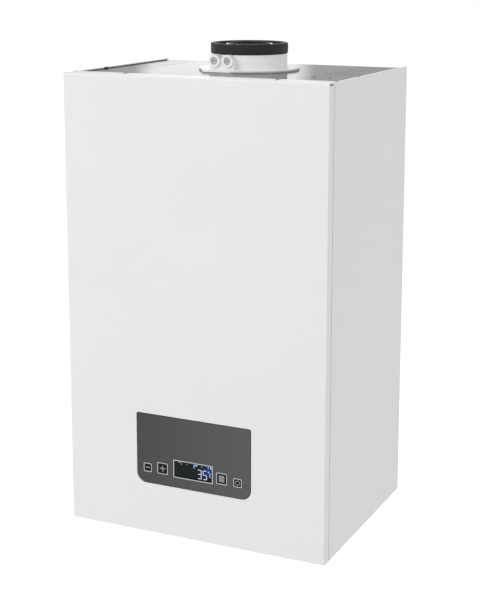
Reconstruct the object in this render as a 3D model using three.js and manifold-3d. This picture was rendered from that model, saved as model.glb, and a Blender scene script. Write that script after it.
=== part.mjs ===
// Wall-hung combi boiler: steel casing, flue adapter, control panel, burner, heat exchangers,
// pump and valves. Millimetres, +X to the right seen from the front, +Y into the wall, +Z up.
// The origin lies on the wall, at the middle of the wall bracket's back face.
import * as THREE from 'three';
import { mergeVertices } from 'three/addons/utils/BufferGeometryUtils.js';
import Module from 'manifold-3d';

const wasm = await Module();
wasm.setup();

// --- Driving dimensions. Heights count from the casing's bottom edge, depths from the wall. ---------
const casing = { width: 390, height: 640, depth: 300, sheet: 1, lip: 4, flange: 12 };
const fit = 0.3; // clearance between pieces that touch
const runningFit = 0.3; // clearance round a piece that moves
const hanger = { height: 590, width: 300, plate: 40, thick: 2, shelf: 9, lip: 8 };
const backPlateDepth = 5.3; // wall to the back frame's plate
const topRecess = 2; // top panel below the side panels' edges

const cover = { sideReturn: 14.5, topReturn: 34, bend: 2, seam: 0.8, cornerRelief: 3 };
const coverNotch = { spacing: 224, width: 6, length: 12 };
const screwTab = { spacing: 260, width: 24, slot: 6, setback: 10 };

const fascia = { width: 174, height: 100, bottom: 72.8, thick: 3, proud: 0.4, shadowGap: 0.8 };
const fasciaCorner = { top: 2, bottom: 14 };
const display = { width: 61, height: 26, bottom: 86.8, setback: 0.1, thick: 2.8, moduleRim: 1.5 };
const key = { bottom: 88.4, corner: 2, proud: 0.3, shoulder: 1.1, shoulderThick: 1.5, travel: 1 };
const keySize = { small: 13.2, large: 17 };
const keyPlace = { minus: 70.5, plus: 47.1, menu: 44, power: 67.9 }; // from the panel's middle
const keys = [
  { name: 'key_minus', x: -keyPlace.minus, size: keySize.small },
  { name: 'key_plus', x: -keyPlace.plus, size: keySize.large },
  { name: 'key_menu', x: keyPlace.menu, size: keySize.large },
  { name: 'key_power', x: keyPlace.power, size: keySize.small },
];
const controlBox = { width: 300, bottom: 38, height: 150, depth: 57, wall: 2.2, lid: 2, tab: 20 };
const board = { thick: 1.6, standoff: 22, inset: 12, post: 4, edge: 2, solder: 0.5 };
// Components on the board: their middle, their foot above the board's edge, and how far they stand out.
const transformer = { side: -1, x: 100, foot: 20, width: 40, height: 40, reach: 20 };
const relay = { side: -1, x: 27.5, foot: 15, width: 25, height: 25, reach: 14 };
const connectorRow = { side: 1, x: 55, foot: 90, width: 70, height: 20, reach: 10 };
const capacitor = { radius: 9, x: 70, height: 40, reach: 18 };
const keyMat = { width: 176, height: 30, thick: 3.3 };

const flue = { fromWall: 117, flangeRadius: 70.5, flangeThick: 3, collarRadius: 53.8, collarWall: 3.8 };
const flueTop = { collar: 661, seal: 676, panelHole: 48 };
const outerSeal = { radius: 54.8, wall: 7.8 };
const innerTube = { radius: 33, wall: 3, top: 674.5 };
const innerSeal = { wall: 3.7, height: 20, proud: 1 };
const port = { xs: [-24, -4], height: 653.4, boss: 8.5, bore: 5.3, cap: 5, proud: 65, depth: 11 };
const portLug = { proud: 75, side: 3, skew: 4, left: 22, right: 16, rear: 40 };
const vent = { length: 45, width: 3, pitch: 30, rows: 5, inset: 42, first: 30 };

const vessel = { width: 300, bottom: 215, height: 350, depth: 58, setback: 12, corner: 60, wall: 1.5 };
const carrier = { gap: 13, bottom: 330, height: 200, thick: 1.5, flange: 15, relief: 40, reliefDepth: 30 };
const drum = { height: 430, radius: 98, wall: 3, clear: 86 }; // clear is the depth left in front
const drumPort = { flue: 30, water: 11, waterReach: 108, waterHeight: 400, drain: 9, drainReach: 105 };
const coil = { outer: 92, inner: 76, turns: 6, clearance: 4 };
const door = { thick: 8, bore: 26, gasket: 3.2, gasketWidth: 8 };
const burner = { radius: 34, wall: 1.2, length: 92 };
const electrode = { radius: 3.5, x: 38, rise: 42, outside: 14, inside: 30 };

const fan = { x: 102, height: 400, radius: 50, wall: 3, clear: 28, thick: 34, outletHeight: 25, inlet: 20 };
const impeller = { radius: 42, hub: 11, disc: 2, blades: 9, bladeThick: 1.6, bladeWidth: 16, shaft: 4 };
const impellerGap = { front: 5, back: 3, rim: 1 };
const fanMotor = { radius: 27, thick: 10.5 };
const manifold = { halfWidth: 31.7, bottom: 402, wall: 3 };
const mixer = { clear: 5, radius: 28, spigot: 9.5, spigotLength: 12 };
const silencer = { width: 64, bottom: 452, height: 140, clear: 4, thick: 34, wall: 1.5 };
const gasValve = { left: 62, right: 136, bottom: 225, top: 285, clear: 6, thick: 104, pipe: 7 };
const gasCoil = { radius: 16, inset: 22, proud: 12, length: 74 };
const gasBoss = { radius: 10, offset: 16, height: 18 };

const connector = { xs: [-130, -65, 0, 65, 130], fromWall: 55, below: 30, nut: 4 };
const connectorBore = [9, 7, 8, 7, 9];
const connectorRadius = [13, 10.4, 13, 10.4, 13];
const connectorBoreDepth = 24;
const block = { inner: 50, outer: 160, back: 35, front: 150, bottom: 30, top: 85, rim: 8, foot: 6 };
const plateExchanger = { halfLength: 95, back: 80, clear: 15, height: 46, plates: 8, groove: 1.5 };
const pump = { x: 132, rise: 40, radius: 36, back: 95, front: 140, neck: 18, wall: 8 };
const pumpMotor = { radius: 32, clear: 22.8, can: 24, cap: 10 };
const rotor = { impeller: 26, impellerThick: 12, core: 16, shaft: 4, wheelGap: 4, coreGap: 8, bearing: 5 };
const diverter = { x: -113, fromWall: 130, plunger: 5, rise: 14, travel: 8, seat: 60 };
const diverterCan = { radius: 14, height: 50, plugWidth: 16, plugReach: 22, plugFoot: 20, plugHead: 6 };
const pipe = { water: 9, flowX: -140, fromWall: 115, bend: 22, gasRise: 190, gasInset: 10, gasBend: 14 };
const hose = { radius: 5, x: 60 };
const safetyValve = { x: 145, height: 60, radius: 11, length: 25, knob: 14, knobLength: 15 };
const pressureSensor = { x: -80, height: 55, radius: 9, length: 22, nut: 10, nutGap: 4 };
const airVent = { x: 95, fromWall: 60, radius: 12, height: 45 };
const trap = { x: -20, setback: 29, radius: 20, band: 2, bottom: 20, top: 170 };
const trapOutlet = { radius: 11, bore: 8.5, boreDepth: 24 };
const drainHose = { radius: 8, bend: 20, above: 60, drop: 45 };
const filling = { x: 98, fromWall: 110, knob: 11, stem: 4, top: 4, below: 27, gap: 7 };
const gland = { x: -100, clear: 65, radius: 10, bore: 4, above: 9, below: 16, flange: 14 };
const trayHole = 0.6; // clearance round what passes through the bottom tray

// --- Values worked out from them ---------------------------------------------------------------------
const halfWidth = casing.width / 2;
const frontFace = -casing.depth;
const innerWall = halfWidth - casing.sheet;
const sideFront = frontFace + cover.sideReturn + cover.seam;
const topPanelTop = casing.height - topRecess;
const fasciaBack = frontFace - fascia.proud + fascia.thick;
const flueY = -flue.fromWall;
const portFace = flueY - port.proud;
const ventX = innerWall - vent.inset;
const carrierBack = -(vessel.setback + vessel.depth + carrier.gap);
const drumBack = carrierBack - carrier.thick - fit;
const drumFront = frontFace + drum.clear;
const doorBack = drumFront - door.gasket - 2 * fit;
const doorFront = doorBack - door.thick;
const fanFront = frontFace + fan.clear;
const fanBack = fanFront + fan.thick;
const fanMotorBack = fanBack + fanMotor.thick;
const mixerFront = frontFace + mixer.clear;
const silencerFront = frontFace + silencer.clear;
const gasFront = frontFace + gasValve.clear;
const gasBack = gasFront + gasValve.thick;
const boxFront = fasciaBack + fit;
const boxBack = boxFront + controlBox.depth;
const boardFront = boxFront + controlBox.wall + board.standoff;
const matBack = fasciaBack + fit + key.shoulderThick + key.travel + fit + keyMat.thick;
const pumpMotorFront = boxBack + fit + controlBox.lid + pumpMotor.clear;
const trapY = drumFront + trap.setback;
const glandY = frontFace + gland.clear;
const SIDES = { fine: 48, round: 32, medium: 24, small: 16, tiny: 10 };

// --- Shape helpers -----------------------------------------------------------------------------------
function signedVolume(positions, triangles) {
  const [a, b, c] = [new THREE.Vector3(), new THREE.Vector3(), new THREE.Vector3()];
  let sum = 0;
  for (let i = 0; i < triangles.length; i += 3) {
    a.fromArray(positions, 3 * triangles[i]);
    b.fromArray(positions, 3 * triangles[i + 1]);
    c.fromArray(positions, 3 * triangles[i + 2]);
    sum += a.dot(b.cross(c));
  }
  return sum;
}

function solidOf(geometry) {
  const bare = geometry.clone();
  for (const name of Object.keys(bare.attributes)) {
    if (name !== 'position') bare.deleteAttribute(name);
  }
  const merged = mergeVertices(bare, 1e-4);
  const index = merged.index.array;
  const triangles = [];
  for (let i = 0; i < index.length; i += 3) {
    const [a, b, c] = [index[i], index[i + 1], index[i + 2]];
    if (a !== b && b !== c && c !== a) triangles.push(a, b, c);
  }
  const positions = Float32Array.from(merged.attributes.position.array);
  if (signedVolume(positions, triangles) < 0) triangles.reverse();
  const mesh = { numProp: 3, vertProperties: positions, triVerts: Uint32Array.from(triangles) };
  return new wasm.Manifold(new wasm.Mesh(mesh));
}

const join = (...solids) => solids.reduce((whole, next) => whole.add(next));
const cut = (whole, ...tools) => tools.reduce((rest, tool) => rest.subtract(tool), whole);

// A block from its low and high values along each axis.
function box([x0, x1], [y0, y1], [z0, z1]) {
  const geometry = new THREE.BoxGeometry(x1 - x0, y1 - y0, z1 - z0);
  geometry.translate((x0 + x1) / 2, (y0 + y1) / 2, (z0 + z1) / 2);
  return solidOf(geometry);
}

// A profile of [radius, distance along the axis] pairs, turned about an axis through a centre.
// The centre gives the two coordinates that the axis doesn't run along, in x, y, z order.
function turned(axis, profile, [c0, c1], sides = SIDES.round) {
  const points = profile.map(([radius, along]) => new THREE.Vector2(radius, along));
  if (profile[0][0] > 0) points.push(points[0].clone());
  const geometry = new THREE.LatheGeometry(points, sides);
  if (axis === 'x') geometry.rotateZ(-Math.PI / 2).translate(0, c0, c1);
  if (axis === 'y') geometry.translate(c0, 0, c1);
  if (axis === 'z') geometry.rotateX(Math.PI / 2).translate(c0, c1, 0);
  return solidOf(geometry);
}

const rod = (axis, radius, [from, to], centre, sides) =>
  turned(axis, [[0, from], [radius, from], [radius, to], [0, to]], centre, sides);

const ring = (axis, outer, inner, [from, to], centre, sides) =>
  turned(axis, [[inner, from], [outer, from], [outer, to], [inner, to]], centre, sides);

// A flat outline swept straight along an axis. Across 'x' the outline holds y and z,
// across 'y' it holds x and z, and across 'z' it holds x and y.
function prism(axis, shape, [from, to], curveSegments = 6) {
  const options = { depth: to - from, bevelEnabled: false, curveSegments };
  const geometry = new THREE.ExtrudeGeometry(shape, options);
  if (axis === 'x') {
    const turn = new THREE.Matrix4().set(0, 0, 1, 0, 1, 0, 0, 0, 0, 1, 0, 0, 0, 0, 0, 1);
    geometry.applyMatrix4(turn).translate(from, 0, 0);
  }
  if (axis === 'y') geometry.rotateX(Math.PI / 2).translate(0, to, 0);
  if (axis === 'z') geometry.translate(0, 0, from);
  return solidOf(geometry);
}

const polygon = (...points) => new THREE.Shape(points.map(([x, y]) => new THREE.Vector2(x, y)));

// A rectangle with one radius for its two lower corners and one for its two upper corners.
function roundedRectangle(x0, x1, y0, y1, lower, upper = lower) {
  const shape = new THREE.Shape();
  shape.moveTo(x0 + lower, y0);
  shape.lineTo(x1 - lower, y0);
  shape.absarc(x1 - lower, y0 + lower, lower, -Math.PI / 2, 0);
  shape.lineTo(x1, y1 - upper);
  shape.absarc(x1 - upper, y1 - upper, upper, 0, Math.PI / 2);
  shape.lineTo(x0 + upper, y1);
  shape.absarc(x0 + upper, y1 - upper, upper, Math.PI / 2, Math.PI);
  shape.lineTo(x0, y0 + lower);
  shape.absarc(x0 + lower, y0 + lower, lower, Math.PI, 1.5 * Math.PI);
  return shape;
}

// A round bar that follows straight runs with a bend at each corner.
function bentBar(corners, radius, bend, steps) {
  const route = new THREE.CurvePath();
  const points = corners.map((corner) => new THREE.Vector3(...corner));
  let start = points[0];
  for (let i = 1; i < points.length - 1; i += 1) {
    const before = points[i].clone().sub(points[i - 1]).normalize();
    const after = points[i + 1].clone().sub(points[i]).normalize();
    const enter = points[i].clone().addScaledVector(before, -bend);
    const leave = points[i].clone().addScaledVector(after, bend);
    route.add(new THREE.LineCurve3(start, enter));
    route.add(new THREE.QuadraticBezierCurve3(enter, points[i], leave));
    start = leave;
  }
  route.add(new THREE.LineCurve3(start, points.at(-1)));
  const section = new THREE.Shape();
  section.absarc(0, 0, radius, 0, 2 * Math.PI);
  const options = { steps, extrudePath: route, bevelEnabled: false, curveSegments: SIDES.tiny / 2 };
  return solidOf(new THREE.ExtrudeGeometry(section, options));
}

// --- Finishes ----------------------------------------------------------------------------------------
const finishes = {
  whitePaint: { color: 0xececec, roughness: 0.35, metalness: 0 },
  galvanised: { color: 0xa3a5a3, roughness: 0.3, metalness: 1 },
  whitePlastic: { color: 0xe4e6e5, roughness: 0.4, metalness: 0 },
  blackRubber: { color: 0x262626, roughness: 0.6, metalness: 0 },
  greyPlastic: { color: 0x9d9d9b, roughness: 0.5, metalness: 0 },
  fasciaGrey: { color: 0x4f5150, roughness: 0.45, metalness: 0 },
  blackPlastic: { color: 0x1d1e20, roughness: 0.5, metalness: 0 },
  glass: { color: 0x0d1013, roughness: 0.08, metalness: 0 },
  circuit: { color: 0x1f5c3a, roughness: 0.5, metalness: 0 },
  stainless: { color: 0xb8bab8, roughness: 0.3, metalness: 1 },
  castAluminium: { color: 0x9a9c9e, roughness: 0.5, metalness: 1 },
  ceramic: { color: 0xf0efe8, roughness: 0.3, metalness: 0 },
  redPaint: { color: 0xa6231d, roughness: 0.4, metalness: 0 },
  redPlastic: { color: 0xc02a22, roughness: 0.45, metalness: 0 },
  bluePlastic: { color: 0x2458a6, roughness: 0.45, metalness: 0 },
  brass: { color: 0xb7924d, roughness: 0.35, metalness: 1 },
  copper: { color: 0xb87352, roughness: 0.35, metalness: 1 },
  castIron: { color: 0x3b3d40, roughness: 0.6, metalness: 1 },
};

const boiler = new THREE.Group();
boiler.position.z = -hanger.height;

function place(name, solid, finish) {
  const { vertProperties, triVerts } = solid.getMesh();
  const geometry = new THREE.BufferGeometry();
  geometry.setAttribute('position', new THREE.BufferAttribute(Float32Array.from(vertProperties), 3));
  geometry.setIndex(new THREE.BufferAttribute(Uint32Array.from(triVerts), 1));
  geometry.computeVertexNormals();
  const mesh = new THREE.Mesh(geometry, new THREE.MeshStandardMaterial(finishes[finish]));
  mesh.name = name;
  boiler.add(mesh);
}

// --- Wall bracket and back frame ---------------------------------------------------------------------
function wallBracket() {
  const half = hanger.plate / 2;
  const top = hanger.height + half;
  const outline = polygon(
    [0, hanger.height - half],
    [0, top],
    [-hanger.shelf + hanger.thick, top],
    [-hanger.shelf + hanger.thick, top + hanger.lip],
    [-hanger.shelf, top + hanger.lip],
    [-hanger.shelf, top - hanger.thick],
    [-hanger.thick, top - hanger.thick],
    [-hanger.thick, hanger.height - half],
  );
  return prism('x', outline, [-hanger.width / 2, hanger.width / 2]);
}

function backFrame() {
  const edge = innerWall - fit;
  const back = -backPlateDepth;
  const bottom = 3 * casing.sheet;
  const top = topPanelTop - casing.sheet - fit;
  const plate = box([-edge, edge], [back - casing.sheet, back], [bottom, top]);
  const sides = [-1, 1].map((side) => {
    const [inside, outside] = [side * (edge - casing.sheet), side * edge].sort((a, b) => a - b);
    return box([inside, outside], [back - casing.flange, back], [bottom, top]);
  });
  const slotTop = hanger.height + hanger.plate / 2 + fit;
  const slotHalf = hanger.width / 2 + 2 * fit;
  const slot = box([-slotHalf, slotHalf], [back - 2, back + 1], [slotTop - hanger.plate - 2, slotTop]);
  return cut(join(plate, ...sides), slot);
}

// --- Casing panels -----------------------------------------------------------------------------------
function sidePanel(side) {
  const across = (from, to) => [side * from, side * to].sort((a, b) => a - b);
  const wall = box(across(innerWall, halfWidth), [sideFront, 0], [0, casing.height]);
  const topLip = box(
    across(halfWidth - casing.lip, halfWidth),
    [sideFront, 0],
    [casing.height - casing.sheet, casing.height],
  );
  const bottomFlange = box(across(halfWidth - casing.flange, halfWidth), [sideFront, 0], [0, casing.sheet]);
  const frontFlange = box(
    across(halfWidth - casing.flange, halfWidth),
    [sideFront, sideFront + casing.sheet],
    [casing.sheet + 4 * fit + casing.sheet, casing.height - casing.flange - 4],
  );
  return join(wall, topLip, bottomFlange, frontFlange);
}

function topPanel() {
  const edge = innerWall - fit;
  const front = sideFront + 2 * casing.sheet;
  const top = [topPanelTop - casing.sheet, topPanelTop];
  const apron = topPanelTop - casing.flange;
  const plate = box([-edge, edge], [front, -fit], top);
  const frontApron = box([-edge, edge], [front, front + casing.sheet], [apron, topPanelTop]);
  const rearApron = box([-edge, edge], [-fit - casing.sheet, -fit], [apron, topPanelTop]);
  const through = [topPanelTop - 2 * casing.sheet, topPanelTop + casing.sheet];
  const flueHole = rod('z', flueTop.panelHole, through, [0, flueY], SIDES.round);
  const slots = [];
  for (const side of [-1, 1]) {
    for (let row = 0; row < vent.rows; row += 1) {
      const y = -(vent.first + row * vent.pitch);
      const x = side * ventX;
      slots.push(box(
        [x - vent.length / 2, x + vent.length / 2],
        [y - vent.width / 2, y + vent.width / 2],
        through,
      ));
    }
  }
  return cut(join(plate, frontApron, rearApron), flueHole, ...slots);
}

function bottomTray() {
  const edge = innerWall - fit;
  const floor = [casing.sheet + fit, 2 * casing.sheet + fit];
  const front = sideFront + 2 * casing.sheet;
  const plate = box([-edge, edge], [front, -fit], floor);
  const lip = box([-edge, edge], [front, front + casing.sheet], [floor[0], casing.flange]);
  const tabEnd = frontFace + 2 * casing.sheet;
  const tabs = [-1, 1].map((side) => {
    const x = side * screwTab.spacing / 2;
    const tab = box([x - screwTab.width / 2, x + screwTab.width / 2], [tabEnd, front + 1], floor);
    const slotEnd = frontFace + screwTab.setback;
    return cut(tab, box([x - screwTab.slot / 2, x + screwTab.slot / 2], [tabEnd - 1, slotEnd], [0, 5]));
  });
  const holes = connector.xs.map((x, i) =>
    rod('z', connectorRadius[i] + trayHole, [0, 5], [x, -connector.fromWall], SIDES.small));
  holes.push(rod('z', trapOutlet.radius + trayHole, [0, 5], [trap.x, trapY], SIDES.small));
  holes.push(rod('z', filling.stem + trayHole, [0, 5], [filling.x, -filling.fromWall], SIDES.small));
  holes.push(rod('z', gland.radius + fit, [0, 5], [gland.x, glandY], SIDES.small));
  return cut(join(plate, lip, ...tabs), ...holes);
}

// The front cover is a pan: a front sheet with side, top and bottom returns.
function frontCover() {
  const rear = frontFace + cover.sideReturn;
  const inner = frontFace + casing.sheet;
  const outline = new THREE.Shape();
  outline.moveTo(-halfWidth, rear);
  outline.lineTo(-halfWidth, frontFace + cover.bend);
  outline.absarc(-halfWidth + cover.bend, frontFace + cover.bend, cover.bend, Math.PI, 1.5 * Math.PI);
  outline.lineTo(halfWidth - cover.bend, frontFace);
  outline.absarc(halfWidth - cover.bend, frontFace + cover.bend, cover.bend, 1.5 * Math.PI, 2 * Math.PI);
  outline.lineTo(halfWidth, rear);
  outline.lineTo(innerWall, rear);
  outline.lineTo(innerWall, inner);
  outline.lineTo(-innerWall, inner);
  outline.lineTo(-innerWall, rear);
  const walls = prism('z', outline, [0, casing.height]);
  const insideLip = halfWidth - casing.lip - fit;
  const topRear = frontFace + cover.topReturn;
  const topOutline = polygon(
    [-innerWall, inner - casing.sheet / 2],
    [innerWall, inner - casing.sheet / 2],
    [halfWidth - cover.cornerRelief, rear - 2 * cover.cornerRelief],
    [insideLip, rear - cover.cornerRelief],
    [insideLip, topRear],
    [-insideLip, topRear],
    [-insideLip, rear - cover.cornerRelief],
    [-halfWidth + cover.cornerRelief, rear - 2 * cover.cornerRelief],
  );
  const topReturn = prism('z', topOutline, [casing.height - casing.sheet, casing.height]);
  const bottomReturn = box([-innerWall, innerWall], [inner - casing.sheet / 2, rear], [0, casing.sheet]);
  const notches = [-1, 1].map((side) => {
    const x = side * coverNotch.spacing / 2;
    const end = topRear - coverNotch.length;
    const z = [casing.height - 2, casing.height + 1];
    const slot = box([x - coverNotch.width / 2, x + coverNotch.width / 2], [end, topRear + 1], z);
    return join(slot, rod('z', coverNotch.width / 2, z, [x, end], SIDES.small));
  });
  const topEdge = new THREE.Shape();
  const bendFoot = casing.height - cover.bend;
  topEdge.moveTo(frontFace, bendFoot);
  topEdge.absarc(frontFace + cover.bend, bendFoot, cover.bend, Math.PI, Math.PI / 2, true);
  topEdge.lineTo(frontFace - 1, casing.height + 1);
  topEdge.lineTo(frontFace - 1, bendFoot);
  const rounding = prism('x', topEdge, [-halfWidth - 1, halfWidth + 1]);
  const reach = fascia.shadowGap;
  const window = roundedRectangle(
    -fascia.width / 2 - reach,
    fascia.width / 2 + reach,
    fascia.bottom - reach,
    fascia.bottom + fascia.height + reach,
    fasciaCorner.bottom + reach,
    fasciaCorner.top + reach,
  );
  const opening = prism('y', window, [frontFace - 1, inner + 1]);
  return cut(join(walls, topReturn, bottomReturn), ...notches, rounding, opening);
}

// --- Control panel -----------------------------------------------------------------------------------
function keyOutline(item, grow) {
  const half = item.size / 2 + grow;
  const middle = key.bottom + item.size / 2;
  return roundedRectangle(item.x - half, item.x + half, middle - half, middle + half, key.corner + grow);
}

function controlFascia() {
  const front = frontFace - fascia.proud;
  const half = fascia.width / 2;
  const [low, high] = [fascia.bottom, fascia.bottom + fascia.height];
  const outline = roundedRectangle(-half, half, low, high, fasciaCorner.bottom, fasciaCorner.top);
  const panel = prism('y', outline, [front, fasciaBack]);
  const through = [front - 1, fasciaBack + 1];
  const keyHoles = keys.map((item) => prism('y', keyOutline(item, runningFit), through, 3));
  const displayHole = box(
    [-display.width / 2 - fit, display.width / 2 + fit],
    through,
    [display.bottom - fit, display.bottom + display.height + fit],
  );
  return cut(panel, ...keyHoles, displayHole);
}

// A key cap with a shoulder that keeps it behind the fascia.
function keyCap(item) {
  const front = frontFace - fascia.proud - key.proud;
  const shoulderFront = fasciaBack + fit;
  const cap = prism('y', keyOutline(item, 0), [front, shoulderFront + key.shoulderThick], 3);
  const shoulder = prism(
    'y',
    keyOutline(item, key.shoulder),
    [shoulderFront, shoulderFront + key.shoulderThick],
    2,
  );
  return join(cap, shoulder);
}

function displayWindow() {
  const front = frontFace - fascia.proud + display.setback;
  const x = [-display.width / 2, display.width / 2];
  return box(x, [front, front + display.thick], [display.bottom, display.bottom + display.height]);
}

function displayModule() {
  const half = display.width / 2 + display.moduleRim;
  const middle = display.bottom + display.height / 2;
  const halfHeight = display.height / 2 + display.moduleRim;
  return box([-half, half], [fasciaBack + fit, matBack], [middle - halfHeight, middle + halfHeight]);
}

function keyMatSheet() {
  const middle = display.bottom + display.height / 2;
  const z = [middle - keyMat.height / 2, middle + keyMat.height / 2];
  const sheet = box([-keyMat.width / 2, keyMat.width / 2], [matBack - keyMat.thick, matBack], z);
  const half = display.width / 2 + display.moduleRim + fit;
  const halfHeight = display.height / 2 + display.moduleRim + fit;
  const through = [matBack - keyMat.thick - 1, matBack + 1];
  return cut(sheet, box([-half, half], through, [middle - halfHeight, middle + halfHeight]));
}

// An open-backed tray behind the fascia, with shelves for the boards and a tab to each side panel.
function controlHousing() {
  const half = controlBox.width / 2;
  const z = [controlBox.bottom, controlBox.bottom + controlBox.height];
  const wall = controlBox.wall;
  const shell = cut(
    box([-half, half], [boxFront, boxBack], z),
    box([-half + wall, half - wall], [boxFront + wall, boxBack + 1], [z[0] + wall, z[1] - wall]),
  );
  const middle = display.bottom + display.height / 2;
  const halfMat = keyMat.width / 2 + fit;
  const window = box(
    [-halfMat, halfMat],
    [boxFront - 1, matBack - keyMat.thick + 0.01],
    [middle - keyMat.height / 2 - fit, middle + keyMat.height / 2 + fit],
  );
  const shelf = box(
    [-halfMat - wall, halfMat + wall],
    [boxFront, matBack + fit + wall],
    [middle - keyMat.height / 2 - fit - wall, middle + keyMat.height / 2 + fit + wall],
  );
  const pocket = box(
    [-halfMat, halfMat],
    [boxFront - 1, matBack + fit],
    [middle - keyMat.height / 2 - fit, middle + keyMat.height / 2 + fit],
  );
  const posts = [];
  for (const x of [-half + board.inset, half - board.inset]) {
    for (const height of [z[0] + board.inset, z[1] - board.inset]) {
      posts.push(rod('y', board.post, [boxFront + 1, boardFront - fit], [x, height], SIDES.tiny));
    }
  }
  const tabs = [-1, 1].map((side) => {
    const across = [side * (half - 1), side * (innerWall - fit)].sort((a, b) => a - b);
    const y = [sideFront + 3 * casing.sheet, sideFront + 6 * casing.sheet];
    return box(across, y, [z[1] - 2 * controlBox.tab, z[1] - controlBox.tab]);
  });
  return cut(join(cut(shell, window), shelf, ...posts, ...tabs), pocket);
}

function controlLid() {
  const half = controlBox.width / 2;
  const z = [controlBox.bottom, controlBox.bottom + controlBox.height];
  return box([-half, half], [boxBack + fit, boxBack + fit + controlBox.lid], z);
}

function circuitBoard() {
  const half = controlBox.width / 2 - controlBox.wall - board.edge;
  const low = controlBox.bottom + controlBox.wall + board.edge;
  const high = controlBox.bottom + controlBox.height - controlBox.wall - board.edge;
  const plate = box([-half, half], [boardFront, boardFront + board.thick], [low, high]);
  const back = boardFront + board.thick;
  const seat = back - board.solder;
  const parts = [transformer, relay, connectorRow].map((item) => {
    const x = item.side * item.x;
    const foot = low + item.foot;
    return box([x - item.width / 2, x + item.width / 2], [seat, back + item.reach], [foot, foot + item.height]);
  });
  const centre = [capacitor.x, low + capacitor.height];
  const can = rod('y', capacitor.radius, [seat, back + capacitor.reach], centre, SIDES.small);
  return join(plate, ...parts, can);
}

// --- Flue adapter ------------------------------------------------------------------------------------
const flangeTop = topPanelTop + fit + flue.flangeThick;
const collarInner = flue.collarRadius - flue.collarWall;

function flueAdapter() {
  const centre = [0, flueY];
  const flange = rod('z', flue.flangeRadius, [topPanelTop + fit, flangeTop], centre, SIDES.fine);
  const collar = rod('z', flue.collarRadius, [flangeTop - 1, flueTop.collar], centre, SIDES.fine);
  const left = port.xs[0] - port.boss - portLug.side;
  const right = port.xs[1] + port.boss + portLug.side;
  const lugFront = flueY - portLug.proud;
  const lugOutline = polygon(
    [left - portLug.left, flueY - portLug.rear],
    [left, lugFront],
    [right, lugFront + portLug.skew],
    [right + portLug.right, flueY - portLug.rear],
  );
  const lug = prism('z', lugOutline, [topPanelTop + fit, flangeTop]);
  const body = box(
    [port.xs[0] - port.boss, port.xs[1] + port.boss],
    [portFace + 3, flueY - 30],
    [flangeTop - 1, port.height + 2],
  );
  const bosses = port.xs.map((x) =>
    rod('y', port.boss, [portFace, flueY - 30], [x, port.height], SIDES.medium));
  const inside = rod('z', collarInner, [topPanelTop - 1, flueTop.collar + 1], centre, SIDES.fine);
  const bores = port.xs.map((x) =>
    rod('y', port.bore, [portFace - 1, portFace + port.depth], [x, port.height], SIDES.small));
  const sealSpace = [flueTop.collar, flueTop.collar + port.boss];
  const sealSeat = rod('z', outerSeal.radius + fit, sealSpace, centre, SIDES.fine);
  return cut(join(flange, collar, lug, body, ...bosses), inside, sealSeat, ...bores);
}

const portCap = (x) => {
  const front = portFace + 1;
  const back = portFace + port.depth - fit;
  const plug = rod('y', port.cap, [front, back], [x, port.height], SIDES.small);
  const slot = box([x - 3.5, x + 3.5], [front - 1, front + 1.2], [port.height - 0.6, port.height + 0.6]);
  return cut(plug, slot);
};

function outerFlueSeal() {
  const inner = outerSeal.radius - outerSeal.wall;
  const bottom = flueTop.collar + fit;
  const lip = 1.2;
  return turned('z', [
    [inner, bottom],
    [outerSeal.radius - lip, bottom],
    [outerSeal.radius, bottom + lip],
    [outerSeal.radius, flueTop.seal - lip],
    [outerSeal.radius - lip, flueTop.seal],
    [inner + lip, flueTop.seal],
    [inner, flueTop.seal - 2 * lip],
  ], [0, flueY], SIDES.fine);
}

const drumTop = drum.height + drum.radius;
const tubeBottom = drumTop + 16 + fit;

const innerFlueTube = () =>
  ring('z', innerTube.radius, innerTube.radius - innerTube.wall, [tubeBottom, innerTube.top], [0, flueY]);

function innerFlueSeal() {
  const outer = innerTube.radius - innerTube.wall - fit;
  const top = innerTube.top + innerSeal.proud;
  return ring('z', outer, outer - innerSeal.wall, [top - innerSeal.height, top], [0, flueY]);
}

// --- Expansion vessel and heat exchanger carrier -------------------------------------------------------
function expansionVessel() {
  const half = vessel.width / 2;
  const [low, high] = [vessel.bottom, vessel.bottom + vessel.height];
  const back = -vessel.setback;
  const front = back - vessel.depth;
  const w = vessel.wall;
  const shell = prism('y', roundedRectangle(-half, half, low, high, vessel.corner), [front, back]);
  const hollowOutline = roundedRectangle(-half + w, half - w, low + w, high - w, vessel.corner - w);
  const hollow = prism('y', hollowOutline, [front + w, back - w]);
  const nozzle = rod('z', hose.radius, [low - 1, low + 5], [hose.x, (front + back) / 2], SIDES.tiny);
  const footTop = -backPlateDepth - casing.sheet - fit;
  const feet = [-1, 1].map((side) =>
    rod('y', 12, [back - 0.5, footTop], [side * half * 0.6, (low + high) / 2], SIDES.small));
  return cut(join(shell, ...feet), hollow, nozzle);
}

// A cross plate between the side panels that carries the heat exchanger in front of the vessel.
function exchangerCarrier() {
  const edge = innerWall - fit;
  const z = [carrier.bottom, carrier.bottom + carrier.height];
  const plate = box([-edge, edge], [carrierBack - carrier.thick, carrierBack], z);
  const flanges = [-1, 1].map((side) => {
    const across = [side * (edge - carrier.thick), side * edge].sort((a, b) => a - b);
    return box(across, [carrierBack - carrier.flange, carrierBack], z);
  });
  const half = carrier.relief;
  const through = [carrierBack - 2 * carrier.thick, carrierBack + 1];
  const relief = box([-half, half], through, [z[1] - carrier.reliefDepth, z[1] + 1]);
  return cut(join(plate, ...flanges), relief);
}

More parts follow.
